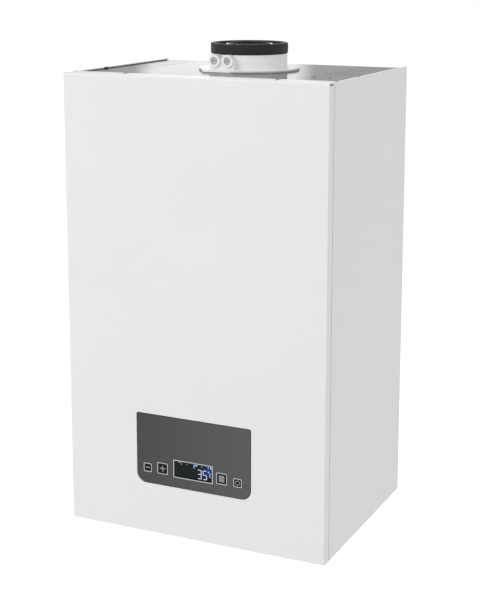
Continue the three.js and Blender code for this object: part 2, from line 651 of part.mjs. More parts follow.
// --- Burner and primary heat exchanger -----------------------------------------------------------------
function exchangerShell() {
  const centre = [0, drum.height];
  const drumOutside = rod('y', drum.radius, [drumFront, drumBack], centre);
  const flueSpigot = rod('z', drumPort.flue, [drumTop - 12, drumTop + 16], [0, flueY]);
  const waterPorts = [-1, 1].map((side) => {
    const span = [side * (drum.radius - 16), side * drumPort.waterReach].sort((a, b) => a - b);
    return rod('x', drumPort.water, span, [-pipe.fromWall, drumPort.waterHeight], SIDES.small);
  });
  const drainEnd = drum.height - drumPort.drainReach;
  const drain = rod('z', drumPort.drain, [drainEnd, drainEnd + 14], [0, trapY], SIDES.small);
  const chamber = rod('y', drum.radius - drum.wall, [drumFront - 1, drumBack - drum.wall], centre);
  const flueBore = rod('z', drumPort.flue - 2, [drum.height, drumTop + 17], [0, flueY]);
  return cut(join(drumOutside, flueSpigot, ...waterPorts, drain), chamber, flueBore);
}

// The water coil inside the drum, as one ribbed sleeve of closely wound turns.
function exchangerCoil() {
  const from = drumFront + coil.clearance;
  const to = drumBack - drum.wall - fit;
  const pitch = (to - from) / coil.turns;
  const rib = 3;
  const profile = [[coil.inner, from]];
  for (let turn = 0; turn < coil.turns; turn += 1) {
    const start = from + turn * pitch;
    profile.push([coil.outer - rib, start], [coil.outer, start + pitch / 3]);
    profile.push([coil.outer, start + (2 * pitch) / 3]);
  }
  profile.push([coil.outer - rib, to], [coil.inner, to]);
  return turned('y', profile, [0, drum.height], SIDES.medium);
}

const doorGasket = () => {
  const back = drumFront - fit;
  const inner = drum.radius - drum.wall - door.gasketWidth / 2;
  return ring('y', drum.radius, inner, [back - door.gasket, back], [0, drum.height]);
};

function burnerDoor() {
  const centre = [0, drum.height];
  const disc = rod('y', drum.radius, [doorFront, doorBack], centre);
  const bore = rod('y', door.bore, [doorFront - 1, doorBack + 1], centre, SIDES.medium);
  const electrodeCentre = [electrode.x, drum.height + electrode.rise];
  const electrodeHole = rod(
    'y', electrode.radius + fit, [doorFront - 1, doorBack + 1], electrodeCentre, SIDES.small);
  return cut(disc, bore, electrodeHole);
}

// A closed-ended tube whose rim seats against the door round its bore.
function burnerTube() {
  const from = doorBack + fit;
  const to = from + burner.length;
  const inner = burner.radius - burner.wall;
  return turned('y', [
    [burner.radius + 4, from],
    [burner.radius + 4, from + burner.wall],
    [burner.radius, from + burner.wall],
    [burner.radius, to],
    [0, to],
    [0, to - burner.wall],
    [inner, to - burner.wall],
    [inner, from],
  ].reverse(), [0, drum.height], SIDES.medium);
}

function ignitionElectrode() {
  const centre = [electrode.x, drum.height + electrode.rise];
  const along = [doorFront - electrode.outside, doorBack + electrode.inside];
  return rod('y', electrode.radius, along, centre, SIDES.tiny);
}

// --- Fan, mixer and air path -----------------------------------------------------------------------------
const fanOutletTop = fan.height + fan.radius;
const fanDuctLeft = manifold.halfWidth + fit;

function mixingManifold() {
  const z = [manifold.bottom, fanOutletTop + manifold.wall + 9];
  const half = manifold.halfWidth;
  const w = manifold.wall;
  const outside = box([-half, half], [fanFront, doorFront - fit], z);
  const inside = box([-half + w, half - w], [fanFront + w, doorFront - fit - w], [z[0] + w, z[1] - w]);
  const toDoor = rod('y', door.bore, [doorFront - 2 * w, doorFront + 1], [0, drum.height], SIDES.medium);
  const fromFan = box(
    [half - 2 * w, half + 1],
    [fanFront + w, fanBack - w],
    [fanOutletTop - fan.outletHeight + w, fanOutletTop - w],
  );
  return cut(outside, inside, toDoor, fromFan);
}

function fanHousing() {
  const centre = [fan.x, fan.height];
  const w = fan.wall;
  const volute = rod('y', fan.radius, [fanFront, fanBack], centre);
  const ductZ = [fanOutletTop - fan.outletHeight, fanOutletTop];
  const duct = box([fanDuctLeft, fan.x], [fanFront, fanBack], ductZ);
  const chamber = rod('y', fan.radius - w, [fanFront + w, fanBack - w], centre);
  const ductBore = box([fanDuctLeft - 1, fan.x], [fanFront + w, fanBack - w], [ductZ[0] + w, ductZ[1] - w]);
  const inlet = rod('y', fan.inlet, [fanFront - 1, fanFront + w + 1], centre, SIDES.medium);
  const shaftRadius = impeller.shaft + runningFit;
  const shaftHole = rod('y', shaftRadius, [fanBack - w - 1, fanBack + 1], centre, SIDES.small);
  return cut(join(volute, duct), chamber, ductBore, inlet, shaftHole);
}

function fanImpeller() {
  const centre = [fan.x, fan.height];
  const back = fanBack - fan.wall - impellerGap.back;
  const front = fanFront + fan.wall + impellerGap.front;
  const disc = rod('y', impeller.radius, [back - impeller.disc, back], centre, SIDES.medium);
  const hub = rod('y', impeller.hub, [back - 10, back], centre, SIDES.small);
  const shaft = rod('y', impeller.shaft, [back - 1, fanMotorBack - 4], centre, SIDES.small);
  const root = back - impeller.disc / 2;
  const middle = impeller.radius - impellerGap.rim - impeller.bladeWidth / 2;
  const blades = [];
  for (let i = 0; i < impeller.blades; i += 1) {
    const blade = new THREE.BoxGeometry(impeller.bladeThick, root - front, impeller.bladeWidth);
    blade.translate(0, 0, middle).rotateY((2 * Math.PI * i) / impeller.blades);
    blade.translate(fan.x, (root + front) / 2, fan.height);
    blades.push(solidOf(blade));
  }
  return join(disc, hub, shaft, ...blades);
}

function fanMotorCan() {
  const centre = [fan.x, fan.height];
  const can = rod('y', fanMotor.radius, [fanBack + fit, fanMotorBack], centre, SIDES.medium);
  const bore = rod('y', impeller.shaft + runningFit, [fanBack - 1, fanMotorBack - 3], centre, SIDES.small);
  return cut(can, bore);
}

const mixerY = (mixerFront + fanFront - fit) / 2;

function gasAirMixer() {
  const centre = [fan.x, fan.height];
  const rear = fanFront - fit;
  const body = rod('y', mixer.radius, [mixerFront, rear], centre, SIDES.medium);
  const up = [fan.height, fan.height + mixer.radius + mixer.spigotLength];
  const down = [fan.height - mixer.radius - mixer.spigotLength, fan.height];
  const airSpigot = rod('z', mixer.spigot, up, [fan.x, mixerY], SIDES.small);
  const gasSpigot = rod('z', gasValve.pipe, down, [fan.x, mixerY], SIDES.small);
  const throat = rod('y', fan.inlet, [mixerFront + 3, rear + 1], centre, SIDES.medium);
  const airBore = rod('z', mixer.spigot - 2, [up[0], up[1] + 1], [fan.x, mixerY], SIDES.small);
  return cut(join(body, airSpigot, gasSpigot), throat, airBore);
}

function airSilencer() {
  const x = [fan.x - silencer.width / 2, fan.x + silencer.width / 2];
  const y = [silencerFront, silencerFront + silencer.thick];
  const z = [silencer.bottom, silencer.bottom + silencer.height];
  const w = silencer.wall;
  const shell = cut(box(x, y, z), box([x[0] + w, x[1] - w], [y[0] + w, y[1] - w], [z[0] + w, z[1] - w]));
  const mouth = box([x[0] + 12, x[1] - 12], [y[0] + 8, y[1] - 8], [z[1] - w - 1, z[1] + 1]);
  const seatBottom = fan.height + mixer.radius + 2;
  const socket = ring('z', mixer.spigot + fit + w, mixer.spigot + fit, [seatBottom, z[0] + w / 2],
    [fan.x, mixerY], SIDES.small);
  const bore = rod('z', mixer.spigot + fit, [seatBottom - 1, z[0] + w + 1], [fan.x, mixerY], SIDES.small);
  return cut(join(shell, socket), mouth, bore);
}

function gasValveBody() {
  const z = [gasValve.bottom, gasValve.top];
  const front = gasFront + gasCoil.proud;
  const body = box([gasValve.left, gasValve.right], [front, gasBack], z);
  const coilCentre = [gasValve.left + gasCoil.inset, (z[0] + z[1]) / 2];
  const coilSpan = [gasFront, gasFront + gasCoil.length];
  const coilHousing = rod('y', gasCoil.radius, coilSpan, coilCentre, SIDES.small);
  const riserTop = fan.height - mixer.radius - mixer.spigotLength - fit;
  const riser = rod('z', gasValve.pipe, [z[1] - 10, riserTop], [fan.x, mixerY], SIDES.small);
  const bossCentre = [fan.x + gasBoss.offset, z[0] + gasBoss.height];
  const boss = rod('y', gasBoss.radius, [gasFront, front + 1], bossCentre, SIDES.small);
  const footHalf = gasValve.pipe + 5;
  const riserFoot = box(
    [fan.x - footHalf, fan.x + footHalf],
    [mixerY - gasValve.pipe - 3, front + footHalf],
    [z[1] - 20, z[1] - 2],
  );
  return join(body, coilHousing, riser, boss, riserFoot);
}

function gasPipe() {
  const y = -connector.fromWall;
  const x = connector.xs[2];
  const [endX, endY] = [gasValve.left + pipe.gasInset, gasBack - pipe.gasInset];
  const run = bentBar([
    [x, y, -1],
    [x, y, pipe.gasRise],
    [x, endY, pipe.gasRise],
    [endX, endY, pipe.gasRise],
    [endX, endY, gasValve.bottom - fit],
  ], gasValve.pipe, pipe.gasBend, 40);
  return cut(join(run, connectorStub(2, 2.5 * casing.flange)), connectorHole(2));
}

// --- Hydraulics ------------------------------------------------------------------------------------------
// A pipe end below the casing, with a hexagon above its thread, and the bore that the pipe opens into.
function connectorStub(i, top) {
  const centre = [connector.xs[i], -connector.fromWall];
  const radius = connectorRadius[i];
  const thread = rod('z', radius - 0.8, [-connector.below, top], centre, SIDES.medium);
  const hexagon = rod('z', radius, [-connector.nut, top - 1], centre, 6);
  return join(thread, hexagon);
}

const connectorHole = (i) =>
  rod('z', connectorBore[i], [-connector.below - 1, -connector.below + connectorBoreDepth],
    [connector.xs[i], -connector.fromWall], SIDES.small);

// A cast block on one side, with its two connectors below it.
function hydraulicBlock(side, connectors, ...tools) {
  const x = [side * block.inner, side * block.outer].sort((a, b) => a - b);
  const y = [-block.front, -block.back];
  const body = box(x, y, [block.bottom, block.top]);
  const rim = block.rim;
  const footZ = [block.bottom - block.foot, block.bottom + 1];
  const lower = box([x[0] + rim, x[1] - rim], [y[0] + rim, y[1] - rim], footZ);
  const stubs = connectors.map((i) => connectorStub(i, block.bottom + 2));
  return cut(join(body, lower, ...stubs), ...connectors.map(connectorHole), ...tools);
}

const diverterCentre = [diverter.x, -diverter.fromWall];

const flowBlock = () => hydraulicBlock(-1, [0, 1],
  rod('z', diverter.plunger + runningFit, [diverter.seat, block.top + 1], diverterCentre, SIDES.small));

const returnBlock = () => hydraulicBlock(1, [3, 4],
  rod('z', filling.stem + runningFit, [block.bottom - block.foot - 1, block.bottom + filling.top],
    [filling.x, -filling.fromWall], SIDES.small));

const diverterPlunger = () => {
  const from = diverter.seat + fit;
  return rod('z', diverter.plunger, [from, block.top + diverter.rise], diverterCentre, SIDES.small);
};

function diverterMotor() {
  const z = [block.top + fit, block.top + fit + diverterCan.height];
  const can = rod('z', diverterCan.radius, z, diverterCentre, SIDES.medium);
  const plug = box(
    [diverter.x - diverterCan.plugWidth / 2, diverter.x + diverterCan.plugWidth / 2],
    [-diverter.fromWall - diverterCan.plugReach, -diverter.fromWall],
    [z[1] - diverterCan.plugFoot, z[1] - diverterCan.plugHead],
  );
  const boreTop = block.top + diverter.rise + diverter.travel + 2;
  const bore = rod('z', diverter.plunger + runningFit, [z[0] - 1, boreTop], diverterCentre, SIDES.small);
  return cut(join(can, plug), bore);
}

// Brazed plates: a long block with a groove between each pair of plates.
function plateHeatExchanger() {
  const { halfLength, plates, groove } = plateExchanger;
  const back = -plateExchanger.back;
  const front = trapY + trap.radius + trap.band + plateExchanger.clear;
  const z0 = block.top + fit;
  const pitch = plateExchanger.height / plates;
  const outline = [];
  for (let i = 0; i < plates; i += 1) {
    const low = z0 + i * pitch;
    outline.push([back, low], [back, low + pitch - groove]);
    outline.push([back - groove, low + pitch - groove / 2]);
  }
  outline.pop();
  for (let i = plates - 1; i >= 0; i -= 1) {
    const low = z0 + i * pitch;
    outline.push([front, low + pitch - groove], [front, low]);
    outline.push([front + groove, low - groove / 2]);
  }
  outline.pop();
  return prism('x', polygon(...outline), [-halfLength, halfLength]);
}

const pumpCentre = [pump.x, block.top + pump.rise];

function pumpBody() {
  const volute = rod('y', pump.radius, [-pump.front, -pump.back], pumpCentre);
  const neck = box(
    [pump.x - pump.neck, pump.x + pump.neck],
    [-pump.front + 5, -pump.back - 5],
    [block.top + fit, pumpCentre[1]],
  );
  const chamber = rod('y', pump.radius - pump.wall, [-pump.front - 1, -pump.back - pump.wall], pumpCentre);
  const outlet = rod('z', pipe.water, [pumpCentre[1] + pump.radius - 5, pumpCentre[1] + pump.radius + 6],
    [pump.x, -pipe.fromWall], SIDES.small);
  return cut(join(volute, neck, outlet), chamber);
}

function pumpMotorCan() {
  const can = rod('y', pumpMotor.radius, [pumpMotorFront, -pump.front - fit], pumpCentre);
  const cavity = rod('y', pumpMotor.can, [pumpMotorFront + pumpMotor.cap, -pump.front], pumpCentre);
  return cut(can, cavity);
}

// The wet rotor: the pump wheel and the motor core on one shaft.
function pumpRotor() {
  const end = pumpMotorFront + pumpMotor.cap + fit;
  const wheelFront = -pump.front + rotor.wheelGap;
  const back = -pump.back - pump.wall - fit;
  return turned('y', [
    [0, end],
    [rotor.shaft, end],
    [rotor.shaft, end + rotor.bearing],
    [rotor.core, end + rotor.bearing],
    [rotor.core, wheelFront - rotor.coreGap],
    [rotor.shaft, wheelFront - rotor.coreGap],
    [rotor.shaft, wheelFront],
    [rotor.impeller, wheelFront],
    [rotor.impeller, wheelFront + rotor.impellerThick],
    [rotor.shaft, wheelFront + rotor.impellerThick],
    [rotor.shaft, back],
    [0, back],
  ], pumpCentre, SIDES.medium);
}

const returnPipe = () => bentBar([
  [pump.x, -pipe.fromWall, pumpCentre[1] + pump.radius + 6 + fit],
  [pump.x, -pipe.fromWall, drumPort.waterHeight],
  [drumPort.waterReach + fit, -pipe.fromWall, drumPort.waterHeight],
], pipe.water, 12, 22);

const flowPipe = () => bentBar([
  [pipe.flowX, -pipe.fromWall, block.top + fit],
  [pipe.flowX, -pipe.fromWall, drumPort.waterHeight],
  [-drumPort.waterReach - fit, -pipe.fromWall, drumPort.waterHeight],
], pipe.water, pipe.bend, 22);

const vesselHose = () => rod('z', hose.radius, [block.top + fit, vessel.bottom - fit],
  [hose.x, -vessel.setback - vessel.depth / 2], SIDES.tiny);

const safetyValveBody = () => {
  const back = -block.front - fit;
  return rod('y', safetyValve.radius, [back - safetyValve.length, back],
    [safetyValve.x, safetyValve.height], SIDES.small);
};

function safetyKnob() {
  const back = -block.front - 2 * fit - safetyValve.length;
  const centre = [safetyValve.x, safetyValve.height];
  const knob = rod('y', safetyValve.knob, [back - safetyValve.knobLength, back], centre, 12);
  const grip = box(
    [safetyValve.x - 2, safetyValve.x + 2],
    [back - safetyValve.knobLength - 3, back - 2],
    [safetyValve.height - safetyValve.knob + 2, safetyValve.height + safetyValve.knob - 2],
  );
  return join(knob, grip);
}

const pressureSensorBody = () => {
  const back = -block.front - fit;
  const centre = [pressureSensor.x, pressureSensor.height];
  const front = back - pressureSensor.length;
  const nose = rod('y', pressureSensor.radius - 3, [front, back], centre, SIDES.tiny);
  const nut = [back - pressureSensor.nut - pressureSensor.nutGap, back - pressureSensor.nutGap];
  return join(nose, rod('y', pressureSensor.radius, nut, centre, 6));
};

const airVentBody = () => {
  const low = block.top + fit;
  const centre = [airVent.x, -airVent.fromWall];
  const body = rod('z', airVent.radius, [low, low + airVent.height - 10], centre, SIDES.small);
  return join(body, rod('z', airVent.radius - 6, [low + 10, low + airVent.height], centre, SIDES.tiny));
};

function condensateTrap() {
  const centre = [trap.x, trapY];
  const end = -connector.below;
  const cup = rod('z', trap.radius, [trap.bottom, trap.top], centre, SIDES.medium);
  const band = rod('z', trap.radius + trap.band, [trap.top - 18, trap.top - 10], centre, SIDES.medium);
  const outlet = rod('z', trapOutlet.radius, [end, trap.bottom + 1], centre, SIDES.small);
  const bore = rod('z', trapOutlet.bore, [end - 1, end + trapOutlet.boreDepth], centre, SIDES.small);
  return cut(join(cup, band, outlet), bore);
}

function condensateHose() {
  const top = drum.height - drumPort.drainReach - fit;
  return bentBar([
    [0, trapY, top],
    [0, trapY, top - drainHose.drop],
    [trap.x, trapY, trap.top + drainHose.above],
    [trap.x, trapY, trap.top + fit],
  ], drainHose.radius, drainHose.bend, 20);
}

function fillingValve() {
  const centre = [filling.x, -filling.fromWall];
  const under = -filling.gap;
  const stem = rod('z', filling.stem, [under - 3, block.bottom + filling.top - fit], centre, SIDES.small);
  const knob = rod('z', filling.knob, [-filling.below, under], centre, 12);
  const half = filling.knob - 2;
  const grip = box(
    [filling.x - 2, filling.x + 2],
    [centre[1] - half, centre[1] + half],
    [-filling.below - 3, under - 1],
  );
  return join(stem, knob, grip);
}

// The strain relief that a mains lead passes through.
function cableGland() {
  const centre = [gland.x, glandY];
  const body = rod('z', gland.radius, [-gland.below, gland.above], centre, SIDES.small);
  const head = rod('z', gland.flange, [-fit - 4, -fit], centre, 6);
  const bore = rod('z', gland.bore, [-gland.below - 1, gland.above + 1], centre, SIDES.tiny);
  return cut(join(body, head), bore);
}

// --- Assembly ----------------------------------------------------------------------------------------
place('wall_bracket', wallBracket(), 'galvanised');
place('back_frame', backFrame(), 'galvanised');
place('left_side_panel', sidePanel(-1), 'whitePaint');
place('right_side_panel', sidePanel(1), 'whitePaint');
place('top_panel', topPanel(), 'galvanised');
place('bottom_tray', bottomTray(), 'galvanised');
place('front_cover', frontCover(), 'whitePaint');

place('control_fascia', controlFascia(), 'fasciaGrey');
for (const item of keys) {
  place(item.name, keyCap(item), 'blackPlastic');
}
place('key_mat', keyMatSheet(), 'blackRubber');
place('display_window', displayWindow(), 'glass');
place('display_module', displayModule(), 'blackPlastic');
place('control_box_housing', controlHousing(), 'blackPlastic');
place('control_box_lid', controlLid(), 'blackPlastic');
place('main_circuit_board', circuitBoard(), 'circuit');

place('flue_adapter', flueAdapter(), 'whitePlastic');
place('outer_flue_seal', outerFlueSeal(), 'blackRubber');
place('inner_flue_tube', innerFlueTube(), 'whitePlastic');
place('inner_flue_seal', innerFlueSeal(), 'blackRubber');
place('port_cap_left', portCap(port.xs[0]), 'greyPlastic');
place('port_cap_right', portCap(port.xs[1]), 'greyPlastic');

place('expansion_vessel', expansionVessel(), 'redPaint');
place('vessel_hose', vesselHose(), 'blackRubber');
place('heat_exchanger_carrier', exchangerCarrier(), 'galvanised');
place('heat_exchanger_shell', exchangerShell(), 'stainless');
place('heat_exchanger_coil', exchangerCoil(), 'stainless');
place('burner_door_gasket', doorGasket(), 'blackRubber');
place('burner_door', burnerDoor(), 'castAluminium');
place('burner_tube', burnerTube(), 'stainless');
place('ignition_electrode', ignitionElectrode(), 'ceramic');

place('mixing_manifold', mixingManifold(), 'castAluminium');
place('fan_housing', fanHousing(), 'castAluminium');
place('fan_impeller', fanImpeller(), 'blackPlastic');
place('fan_motor', fanMotorCan(), 'blackPlastic');
place('gas_air_mixer', gasAirMixer(), 'castAluminium');
place('air_silencer', airSilencer(), 'blackPlastic');
place('gas_valve', gasValveBody(), 'castAluminium');
place('gas_pipe', gasPipe(), 'copper');

place('flow_block', flowBlock(), 'brass');
place('return_block', returnBlock(), 'brass');
place('plate_heat_exchanger', plateHeatExchanger(), 'stainless');
place('pump_body', pumpBody(), 'castIron');
place('pump_motor', pumpMotorCan(), 'greyPlastic');
place('pump_rotor', pumpRotor(), 'stainless');
place('return_pipe', returnPipe(), 'copper');
place('flow_pipe', flowPipe(), 'copper');
place('diverter_motor', diverterMotor(), 'blackPlastic');
place('diverter_plunger', diverterPlunger(), 'brass');
place('safety_valve', safetyValveBody(), 'brass');
place('safety_valve_knob', safetyKnob(), 'redPlastic');
place('pressure_sensor', pressureSensorBody(), 'brass');
place('air_vent', airVentBody(), 'brass');
place('condensate_trap', condensateTrap(), 'greyPlastic');
place('condensate_hose', condensateHose(), 'greyPlastic');
place('filling_valve', fillingValve(), 'bluePlastic');
place('mains_cable_gland', cableGland(), 'blackPlastic');

const object = new THREE.Group();
object.add(boiler);

export default object;
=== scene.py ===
"""Looks of a wall-hung combi boiler: finishes, printed control panel, fasteners, wiring and light."""
import math

import bmesh
import bpy
from mathutils import Matrix, Vector
from mathutils.bvhtree import BVHTree


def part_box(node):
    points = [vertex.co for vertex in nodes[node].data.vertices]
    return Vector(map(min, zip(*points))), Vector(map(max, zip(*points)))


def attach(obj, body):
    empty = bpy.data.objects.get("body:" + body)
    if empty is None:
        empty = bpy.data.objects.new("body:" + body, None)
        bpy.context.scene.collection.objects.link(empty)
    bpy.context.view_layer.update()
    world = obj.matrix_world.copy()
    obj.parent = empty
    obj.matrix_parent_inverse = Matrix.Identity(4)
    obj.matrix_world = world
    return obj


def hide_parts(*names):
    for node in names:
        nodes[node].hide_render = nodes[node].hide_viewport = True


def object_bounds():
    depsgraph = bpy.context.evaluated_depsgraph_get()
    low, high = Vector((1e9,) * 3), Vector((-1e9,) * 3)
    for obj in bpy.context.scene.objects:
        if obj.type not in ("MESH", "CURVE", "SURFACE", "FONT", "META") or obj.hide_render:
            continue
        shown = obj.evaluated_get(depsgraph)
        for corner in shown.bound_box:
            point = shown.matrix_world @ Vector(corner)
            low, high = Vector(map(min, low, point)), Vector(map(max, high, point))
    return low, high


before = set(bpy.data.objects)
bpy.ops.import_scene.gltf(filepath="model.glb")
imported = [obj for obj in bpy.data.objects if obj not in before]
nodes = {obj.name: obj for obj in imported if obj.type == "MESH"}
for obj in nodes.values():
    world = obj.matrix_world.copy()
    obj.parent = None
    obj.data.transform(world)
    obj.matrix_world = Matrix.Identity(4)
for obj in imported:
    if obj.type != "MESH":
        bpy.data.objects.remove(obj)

MM = 0.001
scene = bpy.context.scene
cad_low, cad_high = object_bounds()


def add_object(name, data):
    item = bpy.data.objects.new(name, data)
    scene.collection.objects.link(item)
    return item


# --- Camera ------------------------------------------------------------------------------------------
CAMERA_PLACE = Vector((0.820, -1.891, 0.205))
CAMERA_YAW = math.radians(25.2)
CAMERA_PITCH = math.radians(10.71)
CAMERA_LENS = 80.68
CAMERA_SENSOR = 36.0
CAMERA_SHIFT = -0.147
AHEAD = Vector((-math.sin(CAMERA_YAW), math.cos(CAMERA_YAW), 0))  # level, along the line of sight
ACROSS = Vector((math.cos(CAMERA_YAW), math.sin(CAMERA_YAW), 0))  # level, to the picture's right


def make_camera():
    data = bpy.data.cameras.new("camera")
    data.lens = CAMERA_LENS
    data.sensor_width = CAMERA_SENSOR
    data.shift_y = CAMERA_SHIFT
    data.clip_start = 0.05
    data.clip_end = 100
    camera = add_object("camera", data)
    forward = AHEAD * math.cos(CAMERA_PITCH) - Vector((0, 0, math.sin(CAMERA_PITCH)))
    camera.location = CAMERA_PLACE
    camera.rotation_euler = forward.to_track_quat("-Z", "Y").to_euler()
    scene.camera = camera


# --- Node helpers ------------------------------------------------------------------------------------
WHITE = (1, 1, 1, 1)


def bare_material(name):
    """A material with an output alone. Returns it, its tree and the output's surface socket."""
    material = bpy.data.materials.new(name)
    material.use_nodes = True
    tree = material.node_tree
    tree.nodes.clear()
    return material, tree, tree.nodes.new("ShaderNodeOutputMaterial").inputs["Surface"]


def maths(tree, operation, first, second=0.0):
    """A Math node on a socket and a socket or number."""
    node = tree.nodes.new("ShaderNodeMath")
    node.operation = operation
    tree.links.new(first, node.inputs[0])
    if isinstance(second, float):
        node.inputs[1].default_value = second
    else:
        tree.links.new(second, node.inputs[1])
    return node.outputs[0]


def map_range(tree, factor, low, high, start, end):
    """Maps start..end on to low..high."""
    node = tree.nodes.new("ShaderNodeMapRange")
    for name, value in (("From Min", start), ("From Max", end), ("To Min", low), ("To Max", high)):
        node.inputs[name].default_value = value
    tree.links.new(factor, node.inputs["Value"])
    return node.outputs["Result"]


# --- Light, floor and backdrop -----------------------------------------------------------------------
WORLD_FILL = 0.62
FLOOR_DROP = 0.42
FLOOR_SIZE = 30.0
FLOOR_GREY = 0.82
FLOOR_GLOW = 0.52
LIGHT_AIM = (0, 0, -0.25)
LIGHT_SIZE = 2.6
CARD_REACH = 4.2  # metres from the camera, along the line of sight
CARD_ENDS = (-2.94, 9.43)  # metres to the right of that line
CARD_MIDDLE = -0.05  # the middle of the bright part, measured likewise
CARD_HALF = 0.245  # half the bright part's width, to the middle of its soft edges
CARD_FADE = 0.03  # half the width of a soft edge
CARD_HEIGHTS = (-0.2, 3.0)
CARD_BRIGHT = 1.9
CARD_DULL = 0.8


def lamp(name, place, power):
    data = bpy.data.lights.new(name, "AREA")
    data.shape = "SQUARE"
    data.size = LIGHT_SIZE
    data.energy = power
    item = add_object(name, data)
    item.location = place
    item.rotation_euler = (Vector(LIGHT_AIM) - Vector(place)).to_track_quat("-Z", "Y").to_euler()


def seen_directly(tree):
    """1 for camera, glossy and transmission rays, and 0 for diffuse light."""
    rays = tree.nodes.new("ShaderNodeLightPath")
    shiny = maths(tree, "MAXIMUM", rays.outputs["Is Camera Ray"], rays.outputs["Is Glossy Ray"])
    return maths(tree, "MAXIMUM", shiny, rays.outputs["Is Transmission Ray"])


def background(tree, strength):
    node = tree.nodes.new("ShaderNodeBackground")
    node.inputs["Strength"].default_value = strength
    node.inputs["Color"].default_value = WHITE
    return node.outputs[0]


def make_world():
    world = bpy.data.worlds.new("studio")
    scene.world = world
    world.use_nodes = True
    tree = world.node_tree
    tree.nodes.clear()
    mix = tree.nodes.new("ShaderNodeMixShader")
    output = tree.nodes.new("ShaderNodeOutputWorld")
    tree.links.new(seen_directly(tree), mix.inputs[0])
    tree.links.new(background(tree, WORLD_FILL), mix.inputs[1])
    tree.links.new(background(tree, 1.0), mix.inputs[2])
    tree.links.new(mix.outputs[0], output.inputs["Surface"])


def plane(name, corners):
    mesh = bpy.data.meshes.new(name)
    mesh.from_pydata([tuple(c) for c in corners], [], [tuple(range(len(corners)))])
    item = add_object(name, mesh)
    return item


def make_floor():
    half = FLOOR_SIZE / 2
    z = cad_low.z - FLOOR_DROP
    floor = plane("floor", [(-half, -half, z), (half, -half, z), (half, half, z), (-half, half, z)])
    material, tree, surface = bare_material("floor")
    diffuse = tree.nodes.new("ShaderNodeBsdfDiffuse")
    diffuse.inputs["Color"].default_value = (*grey(FLOOR_GREY), 1)
    glow = tree.nodes.new("ShaderNodeEmission")
    add = tree.nodes.new("ShaderNodeAddShader")
    tree.links.new(maths(tree, "MULTIPLY", seen_directly(tree), FLOOR_GLOW), glow.inputs["Strength"])
    tree.links.new(diffuse.outputs[0], add.inputs[0])
    tree.links.new(glow.outputs[0], add.inputs[1])
    tree.links.new(add.outputs[0], surface)
    floor.data.materials.append(material)


def make_card():
    """A studio card behind the boiler that only shiny surfaces mirror, bright between two dull ends."""
    base = Vector((CAMERA_PLACE.x, CAMERA_PLACE.y, 0)) + AHEAD * CARD_REACH
    left, right = (base + ACROSS * end for end in CARD_ENDS)
    low, high = (Vector((0, 0, z)) for z in CARD_HEIGHTS)
    card = plane("studio_card", [left + low, right + low, right + high, left + high])
    card.visible_camera = False
    card.visible_diffuse = False
    card.visible_shadow = False
    material, tree, surface = bare_material("studio_card")
    place = tree.nodes.new("ShaderNodeTexCoord")
    along = tree.nodes.new("ShaderNodeVectorMath")
    along.operation = "DOT_PRODUCT"
    along.inputs[1].default_value = ACROSS
    tree.links.new(place.outputs["Object"], along.inputs[0])
    offset = maths(tree, "SUBTRACT", along.outputs["Value"], base.dot(ACROSS) + CARD_MIDDLE)
    distance = maths(tree, "ABSOLUTE", offset)
    edge, rim = CARD_HALF - CARD_FADE, CARD_HALF + CARD_FADE
    glow = tree.nodes.new("ShaderNodeEmission")
    glow.inputs["Color"].default_value = WHITE
    tree.links.new(map_range(tree, distance, CARD_BRIGHT, CARD_DULL, edge, rim), glow.inputs["Strength"])
    tree.links.new(glow.outputs[0], surface)
    card.data.materials.append(material)


# --- Material helpers --------------------------------------------------------------------------------
NOISE_LOW, NOISE_HIGH = 0.3, 0.7  # most of a noise's values lie between these


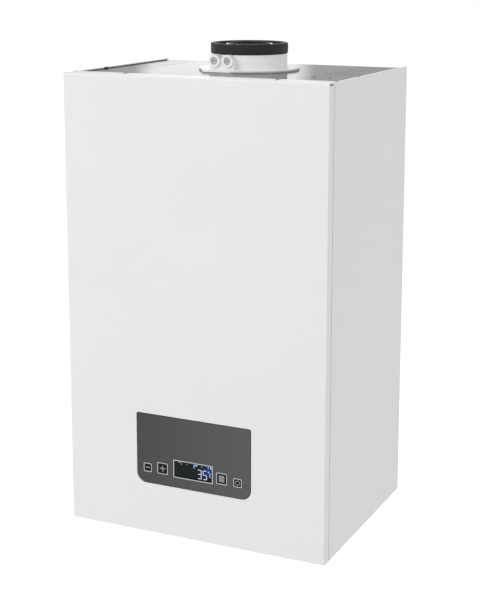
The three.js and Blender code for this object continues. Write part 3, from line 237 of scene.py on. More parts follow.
class Surface:
    """A material with one Principled shader, textured in the piece's own coordinates, in metres."""

    def __init__(self, name, colour, roughness, metallic=0.0):
        self.material, self.tree, surface = bare_material(name)
        self.shader = self.tree.nodes.new("ShaderNodeBsdfPrincipled")
        self.link(self.shader.outputs["BSDF"], surface)
        self.set("Base Color", (*colour, 1))
        self.set("Roughness", roughness)
        self.set("Metallic", metallic)
        self.place = self.tree.nodes.new("ShaderNodeTexCoord").outputs["Object"]

    def set(self, socket, value):
        self.shader.inputs[socket].default_value = value

    def link(self, source, target):
        self.tree.links.new(source, target)

    def axis(self, name):
        """One of the piece's coordinates."""
        split = self.tree.nodes.new("ShaderNodeSeparateXYZ")
        self.link(self.place, split.inputs[0])
        return split.outputs[name]

    def stretched(self, x, y, z):
        mapping = self.tree.nodes.new("ShaderNodeMapping")
        mapping.inputs["Scale"].default_value = (x, y, z)
        self.link(self.place, mapping.inputs["Vector"])
        return mapping.outputs["Vector"]

    def noise(self, scale, detail, place=None):
        node = self.tree.nodes.new("ShaderNodeTexNoise")
        node.inputs["Scale"].default_value = scale
        node.inputs["Detail"].default_value = detail
        self.link(place or self.place, node.inputs["Vector"])
        return node.outputs["Fac"]

    def cells(self, scale, output="Color", feature="F1"):
        node = self.tree.nodes.new("ShaderNodeTexVoronoi")
        node.feature = feature
        node.inputs["Scale"].default_value = scale
        self.link(self.place, node.inputs["Vector"])
        return node.outputs[output]

    def spread(self, factor, low, high, start, end):
        """Maps a texture's range on to low..high."""
        return map_range(self.tree, factor, low, high, start, end)

    def blend(self, factor, low, high, start, end):
        """A colour between low and high."""
        node = self.tree.nodes.new("ShaderNodeValToRGB")
        node.color_ramp.elements[0].position = start
        node.color_ramp.elements[0].color = (*low, 1)
        node.color_ramp.elements[1].position = end
        node.color_ramp.elements[1].color = (*high, 1)
        self.link(factor, node.inputs["Fac"])
        return node.outputs["Color"]

    def colour(self, factor, low, high, start=NOISE_LOW, end=NOISE_HIGH):
        self.link(self.blend(factor, low, high, start, end), self.shader.inputs["Base Color"])

    def roughness(self, factor, low, high, start=NOISE_LOW, end=NOISE_HIGH):
        self.link(self.spread(factor, low, high, start, end), self.shader.inputs["Roughness"])

    def bump(self, height, distance, strength):
        node = self.tree.nodes.new("ShaderNodeBump")
        node.inputs["Distance"].default_value = distance
        node.inputs["Strength"].default_value = strength
        self.link(height, node.inputs["Height"])
        if self.shader.inputs["Normal"].is_linked:
            before = self.shader.inputs["Normal"].links[0].from_socket
            self.link(before, node.inputs["Normal"])
        self.link(node.outputs["Normal"], self.shader.inputs["Normal"])


def grey(value):
    return (value, value, value)


def shade(colour, factor):
    return tuple(factor * c for c in colour)


def powder_coat(name, colour):
    s = Surface(name, colour, 0.42)
    s.set("Specular IOR Level", 0.45)
    s.colour(s.noise(6, 2), shade(colour, 0.985), colour)
    s.roughness(s.noise(90, 3), 0.36, 0.48)
    s.bump(s.noise(420, 2), 0.00006, 0.35)
    s.bump(s.noise(1700, 1), 0.00002, 0.3)
    return s.material


GRAZE_TINT = 0.38  # what is left of zinc's mirroring at a grazing angle


def galvanised(name, colour, rough):
    """Zinc with its flakes; its dull skin mirrors less at a grazing angle than bare metal does."""
    s = Surface(name, colour, rough, 1.0)
    s.set("Specular Tint", (*grey(GRAZE_TINT), 1))
    flakes = s.cells(95)
    s.colour(flakes, shade(colour, 0.93), shade(colour, 1.06), 0.1, 0.9)
    s.roughness(flakes, rough - 0.03, rough + 0.04, 0.0, 1.0)
    s.bump(s.noise(260, 3), 0.00001, 0.2)
    s.bump(s.noise(14, 2), 0.0001, 0.1)
    return s.material


def moulded(name, colour, rough, grain=900, depth=0.00004, variation=0.06):
    s = Surface(name, colour, rough)
    s.colour(s.noise(35, 3), shade(colour, 1 - variation), shade(colour, 1 + variation))
    s.roughness(s.noise(180, 2), rough - 0.06, rough + 0.06)
    s.bump(s.noise(grain, 2), depth, 0.5)
    return s.material


def sheath(name, colour, rough, variation=0.05):
    return moulded(name, colour, rough, 900, 0.00003, variation)


def rubber(name):
    s = Surface(name, grey(0.01), 0.55)
    s.set("Specular IOR Level", 0.3)
    dust = s.noise(70, 4)
    s.colour(dust, grey(0.007), grey(0.013))
    s.roughness(dust, 0.45, 0.68)
    s.bump(s.noise(1300, 3), 0.00005, 0.5)
    return s.material


def machined(name, colour, rough, tarnish):
    """Bright metal with fine turning marks and a light tarnish."""
    s = Surface(name, colour, rough, 1.0)
    patch = s.noise(45, 4)
    s.colour(patch, tarnish, colour, 0.35, 0.6)
    s.roughness(patch, rough + 0.12, rough - 0.04)
    s.bump(s.noise(60, 1, s.stretched(1, 1, 40)), 0.00003, 0.3)
    return s.material


def cast(name, colour, rough, metallic):
    """A sand or die cast skin."""
    s = Surface(name, colour, rough, metallic)
    s.colour(s.noise(60, 5), shade(colour, 0.82), colour)
    s.roughness(s.noise(220, 3), rough - 0.08, rough + 0.1)
    s.bump(s.noise(700, 4), 0.00018, 0.6)
    s.bump(s.cells(420, "Distance"), 0.00012, 0.35)
    return s.material


def brushed(name, colour, rough):
    s = Surface(name, colour, rough, 1.0)
    s.roughness(s.noise(220, 3, s.stretched(0.3, 0.3, 12)), rough - 0.08, rough + 0.1)
    s.colour(s.noise(25, 4), shade(colour, 0.88), colour)
    s.bump(s.noise(420, 2, s.stretched(0.2, 0.2, 10)), 0.00002, 0.4)
    return s.material


def enamel(name, colour, rough):
    s = Surface(name, colour, rough)
    s.set("Coat Weight", 0.4)
    s.set("Coat Roughness", 0.2)
    s.colour(s.noise(18, 3), shade(colour, 0.88), colour)
    s.bump(s.noise(320, 2), 0.00008, 0.4)
    return s.material


def circuit(name):
    s = Surface(name, (0.012, 0.09, 0.04), 0.35)
    tracks = s.cells(160, "Distance", "DISTANCE_TO_EDGE")
    s.colour(tracks, (0.02, 0.16, 0.07), (0.01, 0.075, 0.035), 0.03, 0.06)
    s.bump(tracks, 0.00005, 0.4)
    return s.material


def ceramic(name):
    s = Surface(name, (0.82, 0.8, 0.74), 0.22)
    s.colour(s.noise(80, 3), (0.74, 0.71, 0.64), (0.84, 0.82, 0.77))
    s.bump(s.noise(600, 2), 0.00003, 0.3)
    return s.material


def display_glass(name):
    s = Surface(name, grey(0.002), 0.12)
    s.set("Specular IOR Level", 0.06)
    s.roughness(s.noise(240, 2), 0.09, 0.16)
    s.colour(s.noise(60, 2), grey(0.002), grey(0.004))
    return s.material


def fascia_painted_reflection(name, left, right, half):
    """Satin dark grey, a shade lighter towards the right end: a painted reflection, the darker left end
    standing for dimmer surroundings mirrored there.
    """
    s = Surface(name, right, 0.42)
    s.colour(s.spread(s.axis("X"), 0.0, 1.0, -half, half), left, right, 0.0, 1.0)
    s.roughness(s.noise(180, 2), 0.38, 0.46)
    s.bump(s.noise(1500, 2), 0.00003, 0.5)
    return s.material


def key_print(name):
    s = Surface(name, grey(0.006), 0.45)
    s.set("Specular IOR Level", 0.12)
    s.colour(s.noise(300, 2), grey(0.005), grey(0.008))
    s.roughness(s.noise(180, 2), 0.4, 0.5)
    s.bump(s.noise(1500, 2), 0.00003, 0.5)
    return s.material


def glowing(name, colour, strength):
    s = Surface(name, shade(colour, 0.6), 0.4)
    s.set("Emission Color", (*colour, 1))
    s.set("Emission Strength", strength)
    s.roughness(s.noise(400, 2), 0.35, 0.45)
    return s.material


LOOKS = (  # each finish, and the width of its eased edges in metres
    (powder_coat("casing_white", grey(0.85)), 0.0003),
    (galvanised("galvanised_steel", (0.62, 0.63, 0.62), 0.1), 0.0002),
    (moulded("flue_white_plastic", (0.84, 0.845, 0.84), 0.36, 500, 0.00003, 0.02), 0.0008),
    (rubber("seal_rubber"), 0.0004),
    (moulded("cap_grey_plastic", grey(0.46), 0.45), 0.0003),
    # The fascia is darker at its left end and lighter at its right: a painted reflection.
    (fascia_painted_reflection("fascia_grey", grey(0.027), (0.064, 0.0655, 0.065), 0.087), 0.0004),
    (key_print("key_black"), 0.0003),
    (display_glass("display_glass"), 0.0),
    (moulded("black_plastic", grey(0.02), 0.5, 800, 0.00006), 0.0005),
    (circuit("circuit_green"), 0.0),
    (enamel("vessel_red", (0.42, 0.022, 0.016), 0.38), 0.001),
    (brushed("stainless_steel", (0.58, 0.575, 0.56), 0.3), 0.0004),
    (cast("cast_aluminium", (0.52, 0.53, 0.54), 0.46, 1.0), 0.001),
    (ceramic("electrode_ceramic"), 0.0004),
    (machined("copper_pipe", (0.72, 0.33, 0.19), 0.3, (0.42, 0.17, 0.1)), 0.0),
    (machined("valve_brass", (0.68, 0.48, 0.22), 0.32, (0.45, 0.3, 0.14)), 0.0006),
    (cast("pump_iron", (0.035, 0.037, 0.04), 0.5, 0.0), 0.001),
    (moulded("grey_plastic", grey(0.32), 0.5, 700, 0.00006), 0.0006),
    (moulded("red_plastic", (0.5, 0.028, 0.02), 0.42, 700, 0.00005), 0.0006),
    (moulded("blue_plastic", (0.02, 0.1, 0.36), 0.42, 700, 0.00005), 0.0006),
)
FINISHES = {finish.name.split(".")[0]: finish for finish, edge in LOOKS}
EDGES = {finish.name.split(".")[0]: edge for finish, edge in LOOKS}
zinc_sheet = galvanised("zinc_sheet", (0.4, 0.41, 0.41), 0.4)
print_pale = moulded("print_pale", grey(0.5), 0.45, 1500, 0.00002, 0.02)
print_grey = moulded("print_grey", grey(0.27), 0.45, 1500, 0.00002, 0.02)
digit_light = glowing("digit_light", (0.5, 0.55, 0.95), 0.8)
digit_pale = glowing("digit_pale", (0.52, 0.56, 0.74), 0.75)
unit_light = glowing("unit_light", (0.4, 0.55, 0.95), 0.6)
icon_light = glowing("icon_light", (0.34, 0.4, 0.44), 0.35)
icon_warm = glowing("icon_warm", (0.3, 0.1, 0.12), 0.25)
# Grey of the bead under the flue flange: a foam, and also a painted shade for the flange's shaded lower rim.
foam_and_painted_shade = moulded("foam_and_painted_shade", grey(0.42), 0.6, 1100, 0.00006)
foam_dark = moulded("foam_dark", grey(0.09), 0.65, 1100, 0.00006)
wire_black = sheath("wire_black", grey(0.018), 0.45)
wire_grey = sheath("wire_grey", grey(0.2), 0.5)
wire_red = sheath("wire_red", (0.4, 0.02, 0.015), 0.42)
wire_blue = sheath("wire_blue", (0.015, 0.06, 0.3), 0.42)
wire_earth = sheath("wire_earth", (0.25, 0.38, 0.02), 0.45, 0.08)
plug_white = sheath("plug_white", (0.66, 0.65, 0.6), 0.4, 0.03)
screw_steel = machined("screw_steel", (0.3, 0.3, 0.29), 0.35, (0.2, 0.2, 0.19))


# --- CAD nodes: finish and eased edges ---------------------------------------------------------------
WELD = 2e-6  # metres between corners that are one


def empty_group(name):
    """A group that takes and gives a mesh, with its first and last node."""
    group = bpy.data.node_groups.new(name, "GeometryNodeTree")
    group.interface.new_socket("Geometry", in_out="INPUT", socket_type="NodeSocketGeometry")
    group.interface.new_socket("Geometry", in_out="OUTPUT", socket_type="NodeSocketGeometry")
    return group, group.nodes.new("NodeGroupInput"), group.nodes.new("NodeGroupOutput")


def smooth_group(name, crease):
    """Joins the imported triangles and shades smooth below a crease angle in degrees."""
    group, enter, leave = empty_group(name)
    make = group.nodes.new
    forget = make("GeometryNodeRemoveAttribute")
    forget.inputs["Name"].default_value = "custom_normal"
    merge = make("GeometryNodeMergeByDistance")
    merge.inputs["Distance"].default_value = WELD
    faces = make("GeometryNodeSetShadeSmooth")
    faces.domain = "FACE"
    faces.inputs["Shade Smooth"].default_value = True
    edges = make("GeometryNodeSetShadeSmooth")
    edges.domain = "EDGE"
    angle = make("GeometryNodeInputMeshEdgeAngle")
    flat = make("FunctionNodeCompare")
    flat.data_type = "FLOAT"
    flat.operation = "LESS_THAN"
    flat.inputs[1].default_value = math.radians(crease)
    chain = (enter, forget, merge, faces, edges, leave)
    for before, after in zip(chain, chain[1:]):
        group.links.new(before.outputs["Geometry"], after.inputs["Geometry"])
    group.links.new(angle.outputs["Unsigned Angle"], flat.inputs[0])
    group.links.new(flat.outputs["Result"], edges.inputs["Shade Smooth"])
    return group


SMOOTH = smooth_group("smooth_by_angle", 33)
SMOOTH_TUBE = smooth_group("smooth_tube", 50)


def carve_group(name, boxes):
    """Cuts small boxes, each given by its lowest and highest corner, out of a closed mesh."""
    group, enter, leave = empty_group(name)
    cut = group.nodes.new("GeometryNodeMeshBoolean")
    cut.operation = "DIFFERENCE"
    cut.solver = "EXACT"
    group.links.new(enter.outputs[0], cut.inputs[0])
    for low, high in boxes:
        cube = group.nodes.new("GeometryNodeMeshCube")
        cube.inputs["Size"].default_value = tuple(b - a for a, b in zip(low, high))
        shift = group.nodes.new("GeometryNodeTransform")
        shift.inputs["Translation"].default_value = tuple((a + b) / 2 for a, b in zip(low, high))
        group.links.new(cube.outputs["Mesh"], shift.inputs["Geometry"])
        group.links.new(shift.outputs["Geometry"], cut.inputs[1])
    group.links.new(cut.outputs["Mesh"], leave.inputs[0])
    return group


FLAT_ANGLE = math.radians(0.4)  # faces within this angle are joined into one
SHARP_ANGLE = math.radians(35)  # edges above this angle are eased
BEVEL_SEGMENTS = 2


def ease(item, width=0.0, cuts=None, smooth=SMOOTH):
    """Rounds the sharp edges of a piece a little, and shades its curved faces smooth."""
    join = item.modifiers.new("join", "NODES")
    join.node_group = smooth
    if cuts:
        carve = item.modifiers.new("carve", "NODES")
        carve.node_group = carve_group(item.name + "_cuts", cuts)
    if width > 0:
        flat = item.modifiers.new("flat", "DECIMATE")
        flat.decimate_type = "DISSOLVE"
        flat.angle_limit = FLAT_ANGLE
        bevel = item.modifiers.new("bevel", "BEVEL")
        bevel.width = width
        bevel.segments = BEVEL_SEGMENTS
        bevel.limit_method = "ANGLE"
        bevel.angle_limit = SHARP_ANGLE
        bevel.use_clamp_overlap = True
        bevel.miter_outer = "MITER_ARC"
        shading = item.modifiers.new("shade", "NODES")
        shading.node_group = SMOOTH
    weigh = item.modifiers.new("weigh", "WEIGHTED_NORMAL")
    weigh.keep_sharp = True


DULL_SHEETS = ("back_frame", "wall_bracket", "heat_exchanger_carrier", "bottom_tray")
TUBES = ("flow_pipe", "return_pipe", "gas_pipe", "condensate_hose", "vessel_hose")
LIP_NOTCHES = ((-276, -265), (-196, -186))  # y in mm, along the side panels' upper lips


def sheet_cuts():
    """Small cuts that the folded sheets have: the cover's open corners and the side panels' lips."""
    cover_low, cover_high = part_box("front_cover")
    cuts = {"front_cover": []}
    deep, past = 1.5 * MM, 1 * MM  # below and above the sheet's surface
    slit_front, slit_back = cover_low.y + 0.8 * MM, cover_low.y + 13 * MM
    slit_low, slit_high = cover_high.z - 3.0 * MM, cover_high.z - 1.3 * MM
    for side, edge in ((-1, cover_low.x), (1, cover_high.x)):
        inner, outer = sorted((edge - side * deep, edge + side * past))
        cuts["front_cover"].append(((inner, slit_front, slit_low), (outer, slit_back, slit_high)))
    for side, name in ((-1, "left_side_panel"), (1, "right_side_panel")):
        low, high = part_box(name)
        edge = low.x if side < 0 else high.x
        inner, outer = sorted((edge - side * 5 * MM, edge - side * 1.8 * MM))
        foot, top = high.z - deep, high.z + past
        cuts[name] = [((inner, y0 * MM, foot), (outer, y1 * MM, top)) for y0, y1 in LIP_NOTCHES]
    return cuts


def dress_nodes():
    cuts = sheet_cuts()
    for name, item in nodes.items():
        slot = item.material_slots[0].material.name.split(".")[0]
        item.material_slots[0].material = zinc_sheet if name in DULL_SHEETS else FINISHES[slot]
        if name in TUBES:
            ease(item, smooth=SMOOTH_TUBE)
        else:
            ease(item, EDGES[slot], cuts.get(name))


# --- Mesh helpers ------------------------------------------------------------------------------------
def mesh_of(name, bm):
    """The mesh of what was modelled, with its faces turned outwards."""
    bmesh.ops.recalc_face_normals(bm, faces=bm.faces)
    mesh = bpy.data.meshes.new(name)
    bm.to_mesh(mesh)
    bm.free()
    return mesh


def piece(name, mesh, material, body, slot):
    """A visible piece on a body, in the material or else in its slot's finish."""
    item = add_object(name, mesh)
    mesh.materials.append(material or FINISHES[slot])
    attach(item, body)
    return item


def rounded(x0, x1, z0, z1, radius, steps=6):
    """A rectangle's outline with round corners, as points in order."""
    points = []
    corners = [(x1 - radius, z0 + radius, -90), (x1 - radius, z1 - radius, 0)]
    corners += [(x0 + radius, z1 - radius, 90), (x0 + radius, z0 + radius, 180)]
    for cx, cz, start in corners:
        for i in range(steps + 1):
            angle = math.radians(start + 90 * i / steps)
            points.append((cx + radius * math.cos(angle), cz + radius * math.sin(angle)))
    return points


def circle(x, z, radius, steps=40):
    turn = 2 * math.pi / steps
    return [(x + radius * math.cos(i * turn), z + radius * math.sin(i * turn)) for i in range(steps)]


def relief(name, shapes, front, depth, material, body, slot=None):
    """Flat figures on the front face. Each shape is an outline in x and z, or an (outer, inner) pair."""
    bm = bmesh.new()
    for shape in shapes:
        if isinstance(shape, tuple):
            outer, inner = ([bm.verts.new((x, front, z)) for x, z in outline] for outline in shape)
            faces = []
            for i in range(len(outer)):
                j = (i + 1) % len(outer)
                faces.append(bm.faces.new((outer[i], outer[j], inner[j], inner[i])))
        else:
            faces = [bm.faces.new([bm.verts.new((x, front, z)) for x, z in shape])]
        made = bmesh.ops.extrude_face_region(bm, geom=faces)
        moved = [v for v in made["geom"] if isinstance(v, bmesh.types.BMVert)]
        bmesh.ops.translate(bm, verts=moved, vec=(0, depth, 0))
    return piece(name, mesh_of(name, bm), material, body, slot)


def bar(x0, x1, z0, z1, radius=0.0):
    """A bar's outline, with round ends where it has a radius."""
    if radius:
        return rounded(x0, x1, z0, z1, radius, 3)
    return [(x0, z0), (x1, z0), (x1, z1), (x0, z1)]


# --- Control panel -----------------------------------------------------------------------------------
KEY_SHOULDER = 1.1 * MM  # hidden rim round each key cap
KEY_CORNER = 2.0 * MM
KEY_FRAME = 1.2 * MM
KEY_EDGE = 0.15 * MM  # what shows of the cap outside its frame
SIGN_HALF = 0.8 * MM  # half the thickness of a sign's bars
PRINT = 0.05 * MM  # thickness of what is printed or laid on a face


def key_cap(name):
    """A key with its printed frame, in place of the plain cap. Returns its middle and its front."""
    low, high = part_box(name)
    x, z = (low.x + high.x) / 2, (low.z + high.z) / 2
    half = (high.x - low.x) / 2 - KEY_SHOULDER
    face = low.y + PRINT
    outline = rounded(x - half, x + half, z - half, z + half, KEY_CORNER)
    cap = relief(name + "_cap", [outline], face, high.y - face, None, name, "key_black")
    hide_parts(name)
    out = half - KEY_EDGE
    inside = KEY_FRAME + KEY_EDGE
    into = half - inside
    ring = (
        rounded(x - out, x + out, z - out, z + out, KEY_CORNER - KEY_EDGE),
        rounded(x - into, x + into, z - into, z + into, KEY_CORNER - inside / 2),
    )
    relief(name + "_frame", [ring], low.y, PRINT, print_pale, name)
    return x, z, low.y


def key_signs():
    """The four keys with the signs printed on them."""
    x, z, front = key_cap("key_minus")
    arm, thick = 3.2 * MM, SIGN_HALF
    relief("sign_minus", [bar(x - arm, x + arm, z - thick, z + thick)], front, PRINT, print_grey, "key_minus")

    x, z, front = key_cap("key_plus")
    arm = 4.3 * MM
    cross = [
        bar(x - arm, x - thick, z - thick, z + thick),
        bar(x + thick, x + arm, z - thick, z + thick),
        bar(x - thick, x + thick, z - arm, z + arm),
    ]
    relief("sign_plus", cross, front, PRINT, print_grey, "key_plus")

    x, z, front = key_cap("key_menu")
    columns, pitch, width, half = 5, 1.7 * MM, 1.3 * MM, 4.6 * MM
    radiator = []
    for i in range(columns):
        middle = x + (i - (columns - 1) / 2) * pitch
        radiator.append(bar(middle - width / 2, middle + width / 2, z - half, z + half))
    for level in (z - 0.72 * half, z + 0.72 * half):
        for i in range(columns - 1):
            left = x + (i - (columns - 1) / 2) * pitch + width / 2
            radiator.append(bar(left, left + pitch - width, level - 0.9 * MM, level + 0.9 * MM))
    relief("sign_radiator", radiator, front, PRINT, print_grey, "key_menu")

    x, z, front = key_cap("key_power")
    ring = (circle(x, z, 3.6 * MM), circle(x, z, 2.5 * MM))
    relief("sign_power", [ring], front, PRINT, print_grey, "key_power")


SEGMENTS = {"3": "abcdg", "5": "acdfg", "c": "deg"}


def digit(shape, x, z, width, height, stroke):
    """The lit bars of one character, from its lower left corner."""
    half = stroke / 2
    gap = 0.12 * MM
    rows = {"a": z + height, "d": z, "g": z + height / 2}
    bars = []
    for name, level in rows.items():
        if name in shape:
            bars.append(bar(x + gap, x + width - gap, level - half, level + half, half * 0.9))
    columns = {"e": (x, z), "f": (x, z + height / 2), "c": (x + width, z), "b": (x + width, z + height / 2)}
    for name, (cx, cz) in columns.items():
        if name in shape:
            bars.append(bar(cx - half, cx + half, cz + gap, cz + height / 2 - gap, half * 0.9))
    return bars


def lit(name, shapes, front, light):
    """Marks that shine on the display's face."""
    relief(name, shapes, front - PRINT, 0.6 * PRINT, light, "casing")


def display():
    """The window's printed frame, the panel in it and what is lit on it."""
    low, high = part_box("display_window")
    front = low.y
    rim = 1.4 * MM
    x0, x1, z0, z1 = low.x, high.x, low.z, high.z
    outline = (
        rounded(x0, x1, z0, z1, 0.6 * MM, 3),
        rounded(x0 + rim, x1 - rim, z0 + rim, z1 - rim, 0.3 * MM, 3),
    )
    relief("display_frame", [outline], front - PRINT, PRINT, print_pale, "casing")
    pane = bar(x0 + rim + 1.5 * MM, x1 - rim, z0 + rim + 2.2 * MM, z1 - rim)
    relief("display_pane", [pane], front - 0.4 * PRINT, 0.4 * PRINT, display_pane(low, high), "casing")
    base = z0 + rim + 3.2 * MM
    tall, wide, stroke = 12.4 * MM, 5.2 * MM, 1.0 * MM
    first = x1 - rim - 21.5 * MM
    for i, (name, light) in enumerate((("3", digit_pale), ("5", digit_light))):
        bars = digit(SEGMENTS[name], first + i * 8.2 * MM, base, wide, tall, stroke)
        lit("display_digit_" + name, bars, front, light)
    unit_x = x1 - rim - 5.0 * MM
    dot_z = base + tall - 1.0 * MM
    degree = (circle(unit_x, dot_z, 1.3 * MM, 20), circle(unit_x, dot_z, 0.6 * MM, 20))
    unit = digit(SEGMENTS["c"], unit_x + 1.4 * MM, base + 4.6 * MM, 2.2 * MM, 9.0 * MM, 0.9 * MM)
    lit("display_unit", [degree] + unit, front, unit_light)
    status_icons(x0 + rim, x1 - rim, z1 - rim, front)


def status_icons(left, right, top, front):
    """Small generic marks along the display's upper edge."""

    def mark(side, start, end, foot, head):
        """A bar, in mm from a side of the display and below its top."""
        return bar(side + start * MM, side + end * MM, top - foot * MM, top - head * MM)

    pale = [mark(left, 6, 10, 1.6, 0.7), mark(left, 11, 12, 4.2, 1.4), mark(left, 19.5, 20.3, 3.4, 1.8)]
    lit("display_icons_pale", pale, front, icon_light)
    middle, half, head = left + 34.5 * MM, 1.9 * MM, top - 1 * MM
    bright = [
        mark(left, 30.4, 31.4, 6.4, 0.8),
        [(middle, top - 3.8 * MM), (middle + half, head), (middle - half, head)],
        mark(right, -6.0, -5.0, 3.6, 1.0),
        mark(right, -2.6, -0.8, 3.8, 1.0),
    ]
    lit("display_icons_bright", bright, front, unit_light)
    warm = [circle(left + 42.5 * MM, top - 2.4 * MM, 1.2 * MM, 16)]
    lit("display_icon_warm", warm, front, icon_warm)


def display_pane(low, high):
    """The liquid crystal panel: dark green grey, with a blue haze at its lit upper right end."""
    s = Surface("display_pane", (0.011, 0.015, 0.0155), 0.2)
    s.set("Specular IOR Level", 0.06)
    size = high - low
    along = s.spread(s.axis("X"), 0.0, 1.0, low.x + 0.62 * size.x, high.x)
    upward = s.spread(s.axis("Z"), 0.0, 1.0, low.z + 0.2 * size.z, low.z + 0.55 * size.z)
    haze = maths(s.tree, "MULTIPLY", along, upward)
    glow = s.blend(haze, (0.0, 0.0, 0.0), (0.012, 0.03, 0.16), 0.15, 0.9)
    s.link(glow, s.shader.inputs["Emission Color"])
    s.set("Emission Strength", 1.0)
    s.roughness(s.noise(200, 2), 0.16, 0.24)
    return s.material


# --- Fasteners ---------------------------------------------------------------------------------------
SCREW_SIDES = 28
LATHE_SIDES = 128
AXES = {
    "+x": (1, 0, 0),
    "-x": (-1, 0, 0),
    "+y": (0, 1, 0),
    "-y": (0, -1, 0),
    "+z": (0, 0, 1),
    "-z": (0, 0, -1),
}
TURN_STEP = 17  # degrees from one fastener to the next, so that no two heads look alike


def spun(bm, profile, sides):
    """Turns (radius, height) points about the z axis."""
    rings = []
    for radius, height in profile:
        if radius == 0:
            rings.append([bm.verts.new((0, 0, height))])
            continue
        rings.append([bm.verts.new((x, y, height)) for x, y in circle(0, 0, radius, sides)])
    for a, b in zip(rings, rings[1:]):
        for i in range(sides):
            j = (i + 1) % sides
            if len(a) == 1:
                bm.faces.new((a[0], b[i], b[j]))
            elif len(b) == 1:
                bm.faces.new((a[i], a[j], b[0]))
            else:
                bm.faces.new((a[i], a[j], b[j], b[i]))


def screw_mesh(radius, rise):
    """A pan head screw with a cross recess: the head stands on z = 0."""
    bm = bmesh.new()
    dome = [(radius, rise * 0.35), (radius * 0.82, rise * 0.82), (radius * 0.5, rise), (0, rise)]
    spun(bm, [(0, -rise), (radius, -rise)] + dome, SCREW_SIDES)
    head = mesh_of("screw_head", bm)
    arm, thick, deep = radius * 0.52, radius * 0.11, rise * 0.55
    bm = bmesh.new()
    for x, y in ((arm, thick), (thick, arm)):
        made = bmesh.ops.create_cube(bm, size=2)
        bmesh.ops.scale(bm, vec=(x, y, deep), verts=made["verts"])
        bmesh.ops.translate(bm, vec=(0, 0, rise * 1.05), verts=made["verts"])
    body = add_object("screw_body", head)
    cutter = add_object("screw_cutter", mesh_of("screw_cross", bm))
    carve = body.modifiers.new("carve", "BOOLEAN")
    carve.operation = "DIFFERENCE"
    carve.solver = "EXACT"
    carve.use_self = True
    carve.object = cutter
    graph = bpy.context.evaluated_depsgraph_get()
    carved = bpy.data.meshes.new_from_object(body.evaluated_get(graph))
    bpy.data.objects.remove(body)
    bpy.data.objects.remove(cutter)
    return carved


def turned_mesh(name, profile, sides=40):
    """A solid or ring about z, from (radius, height) points in mm."""
    bm = bmesh.new()
    points = [(r * MM, h * MM) for r, h in profile]
    if points[0][0] > 0:
        points.append(points[0])
    spun(bm, points, sides)
    bmesh.ops.remove_doubles(bm, verts=bm.verts, dist=1e-7)
    return mesh_of(name, bm)


def joined(*meshes):
    bm = bmesh.new()
    for mesh in meshes:
        bm.from_mesh(mesh)
    return mesh_of(meshes[0].name, bm)


def nut_mesh(across, rise):
    """A hexagon nut on its washer, with the stud's end above it. Sizes in mm."""
    corner = across / math.sqrt(3)
    washer = turned_mesh("washer", [(0, -0.5), (corner + 1, -0.5), (corner + 1, 0.8), (0, 0.8)])
    chamfer = [(0, 0.8), (corner * 0.92, 0.8), (corner, 1.4)]
    chamfer += [(corner, rise - 0.8), (corner * 0.9, rise), (0, rise)]
    stud = turned_mesh("stud", [(0, 0), (across * 0.3, 0), (across * 0.3, rise + 2), (0, rise + 2.5)], 20)
    return joined(washer, turned_mesh("nut", chamfer, 6), stud)


def copies(name, shape, places, axis, material=None, slot="galvanised_steel"):
    """Copies of a shape, each standing at a place on a face that looks along the axis, in one piece."""
    toward = Vector(AXES[axis]).to_track_quat("Z", "Y").to_matrix().to_4x4()
    bm = bmesh.new()
    for i, place in enumerate(places):
        start = len(bm.verts)
        bm.from_mesh(shape)
        bm.verts.ensure_lookup_table()
        spin = Matrix.Rotation(math.radians(TURN_STEP * (i + 1)), 4, "Z")
        bmesh.ops.transform(bm, matrix=Matrix.Translation(place) @ toward @ spin, verts=bm.verts[start:])
    ease(piece(name, mesh_of(name, bm), material, "casing", slot))


def screws(name, places, axis, radius, rise):
    """Pan head screws, sizes in mm."""
    copies(name, screw_mesh(radius * MM, rise * MM), places, axis, screw_steel)


solids = {}


def seat(name, origin, axis):
    """The point where a line from the origin, against the axis, meets a CAD node's surface."""
    if name not in solids:
        mesh = nodes[name].data
        points = [v.co.copy() for v in mesh.vertices]
        solids[name] = BVHTree.FromPolygons(points, [tuple(p.vertices) for p in mesh.polygons])
    return solids[name].ray_cast(Vector(origin), -Vector(AXES[axis]))[0]


def front_seats(name, places):
    """Points on a node's front, for places given as x and z in mm."""
    return [seat(name, (x * MM, -0.5, z * MM), "-y") for x, z in places]


def around(x, z, radius, count, first):
    """Places on a circle seen from the front, in mm."""
    angles = [math.radians(first + 360 * i / count) for i in range(count)]
    return [(x + radius * math.cos(a), z + radius * math.sin(a)) for a in angles]


PIN_X, PIN_Y = 112, -272  # the cover's locating pins, in mm


def casing_screws():
    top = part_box("top_panel")[1].z
    spots = ((132.7, -206.3), (129.3, -190.1), (155.3, -199.4))
    screws("top_panel_screws", [Vector((x * MM, y * MM, top)) for x, y in spots], "+z", 2.6, 0.7)
    back = [(-170, -40), (170, -40), (-170, -300), (170, -300), (-170, -560), (170, -560), (0, -560)]
    seats = [seat("back_frame", (x * MM, 0.1, z * MM), "+y") for x, z in back]
    screws("back_frame_screws", seats, "+y", 4, 1.6)
    pin = [(0, -0.3), (2.3, -0.3), (2.3, 2.2), (1.6, 2.8), (0, 2.8)]
    pins = [seat("top_panel", (x * MM, PIN_Y * MM, 0.2), "+z") for x in (-PIN_X, PIN_X)]
    copies("cover_pins", turned_mesh("pin", pin), pins, "+z", screw_steel)
    sides = [(x, z) for x in (-150, 150) for z in (-74, -246)]
    screws("carrier_screws", front_seats("heat_exchanger_carrier", sides), "-y", 4, 2)


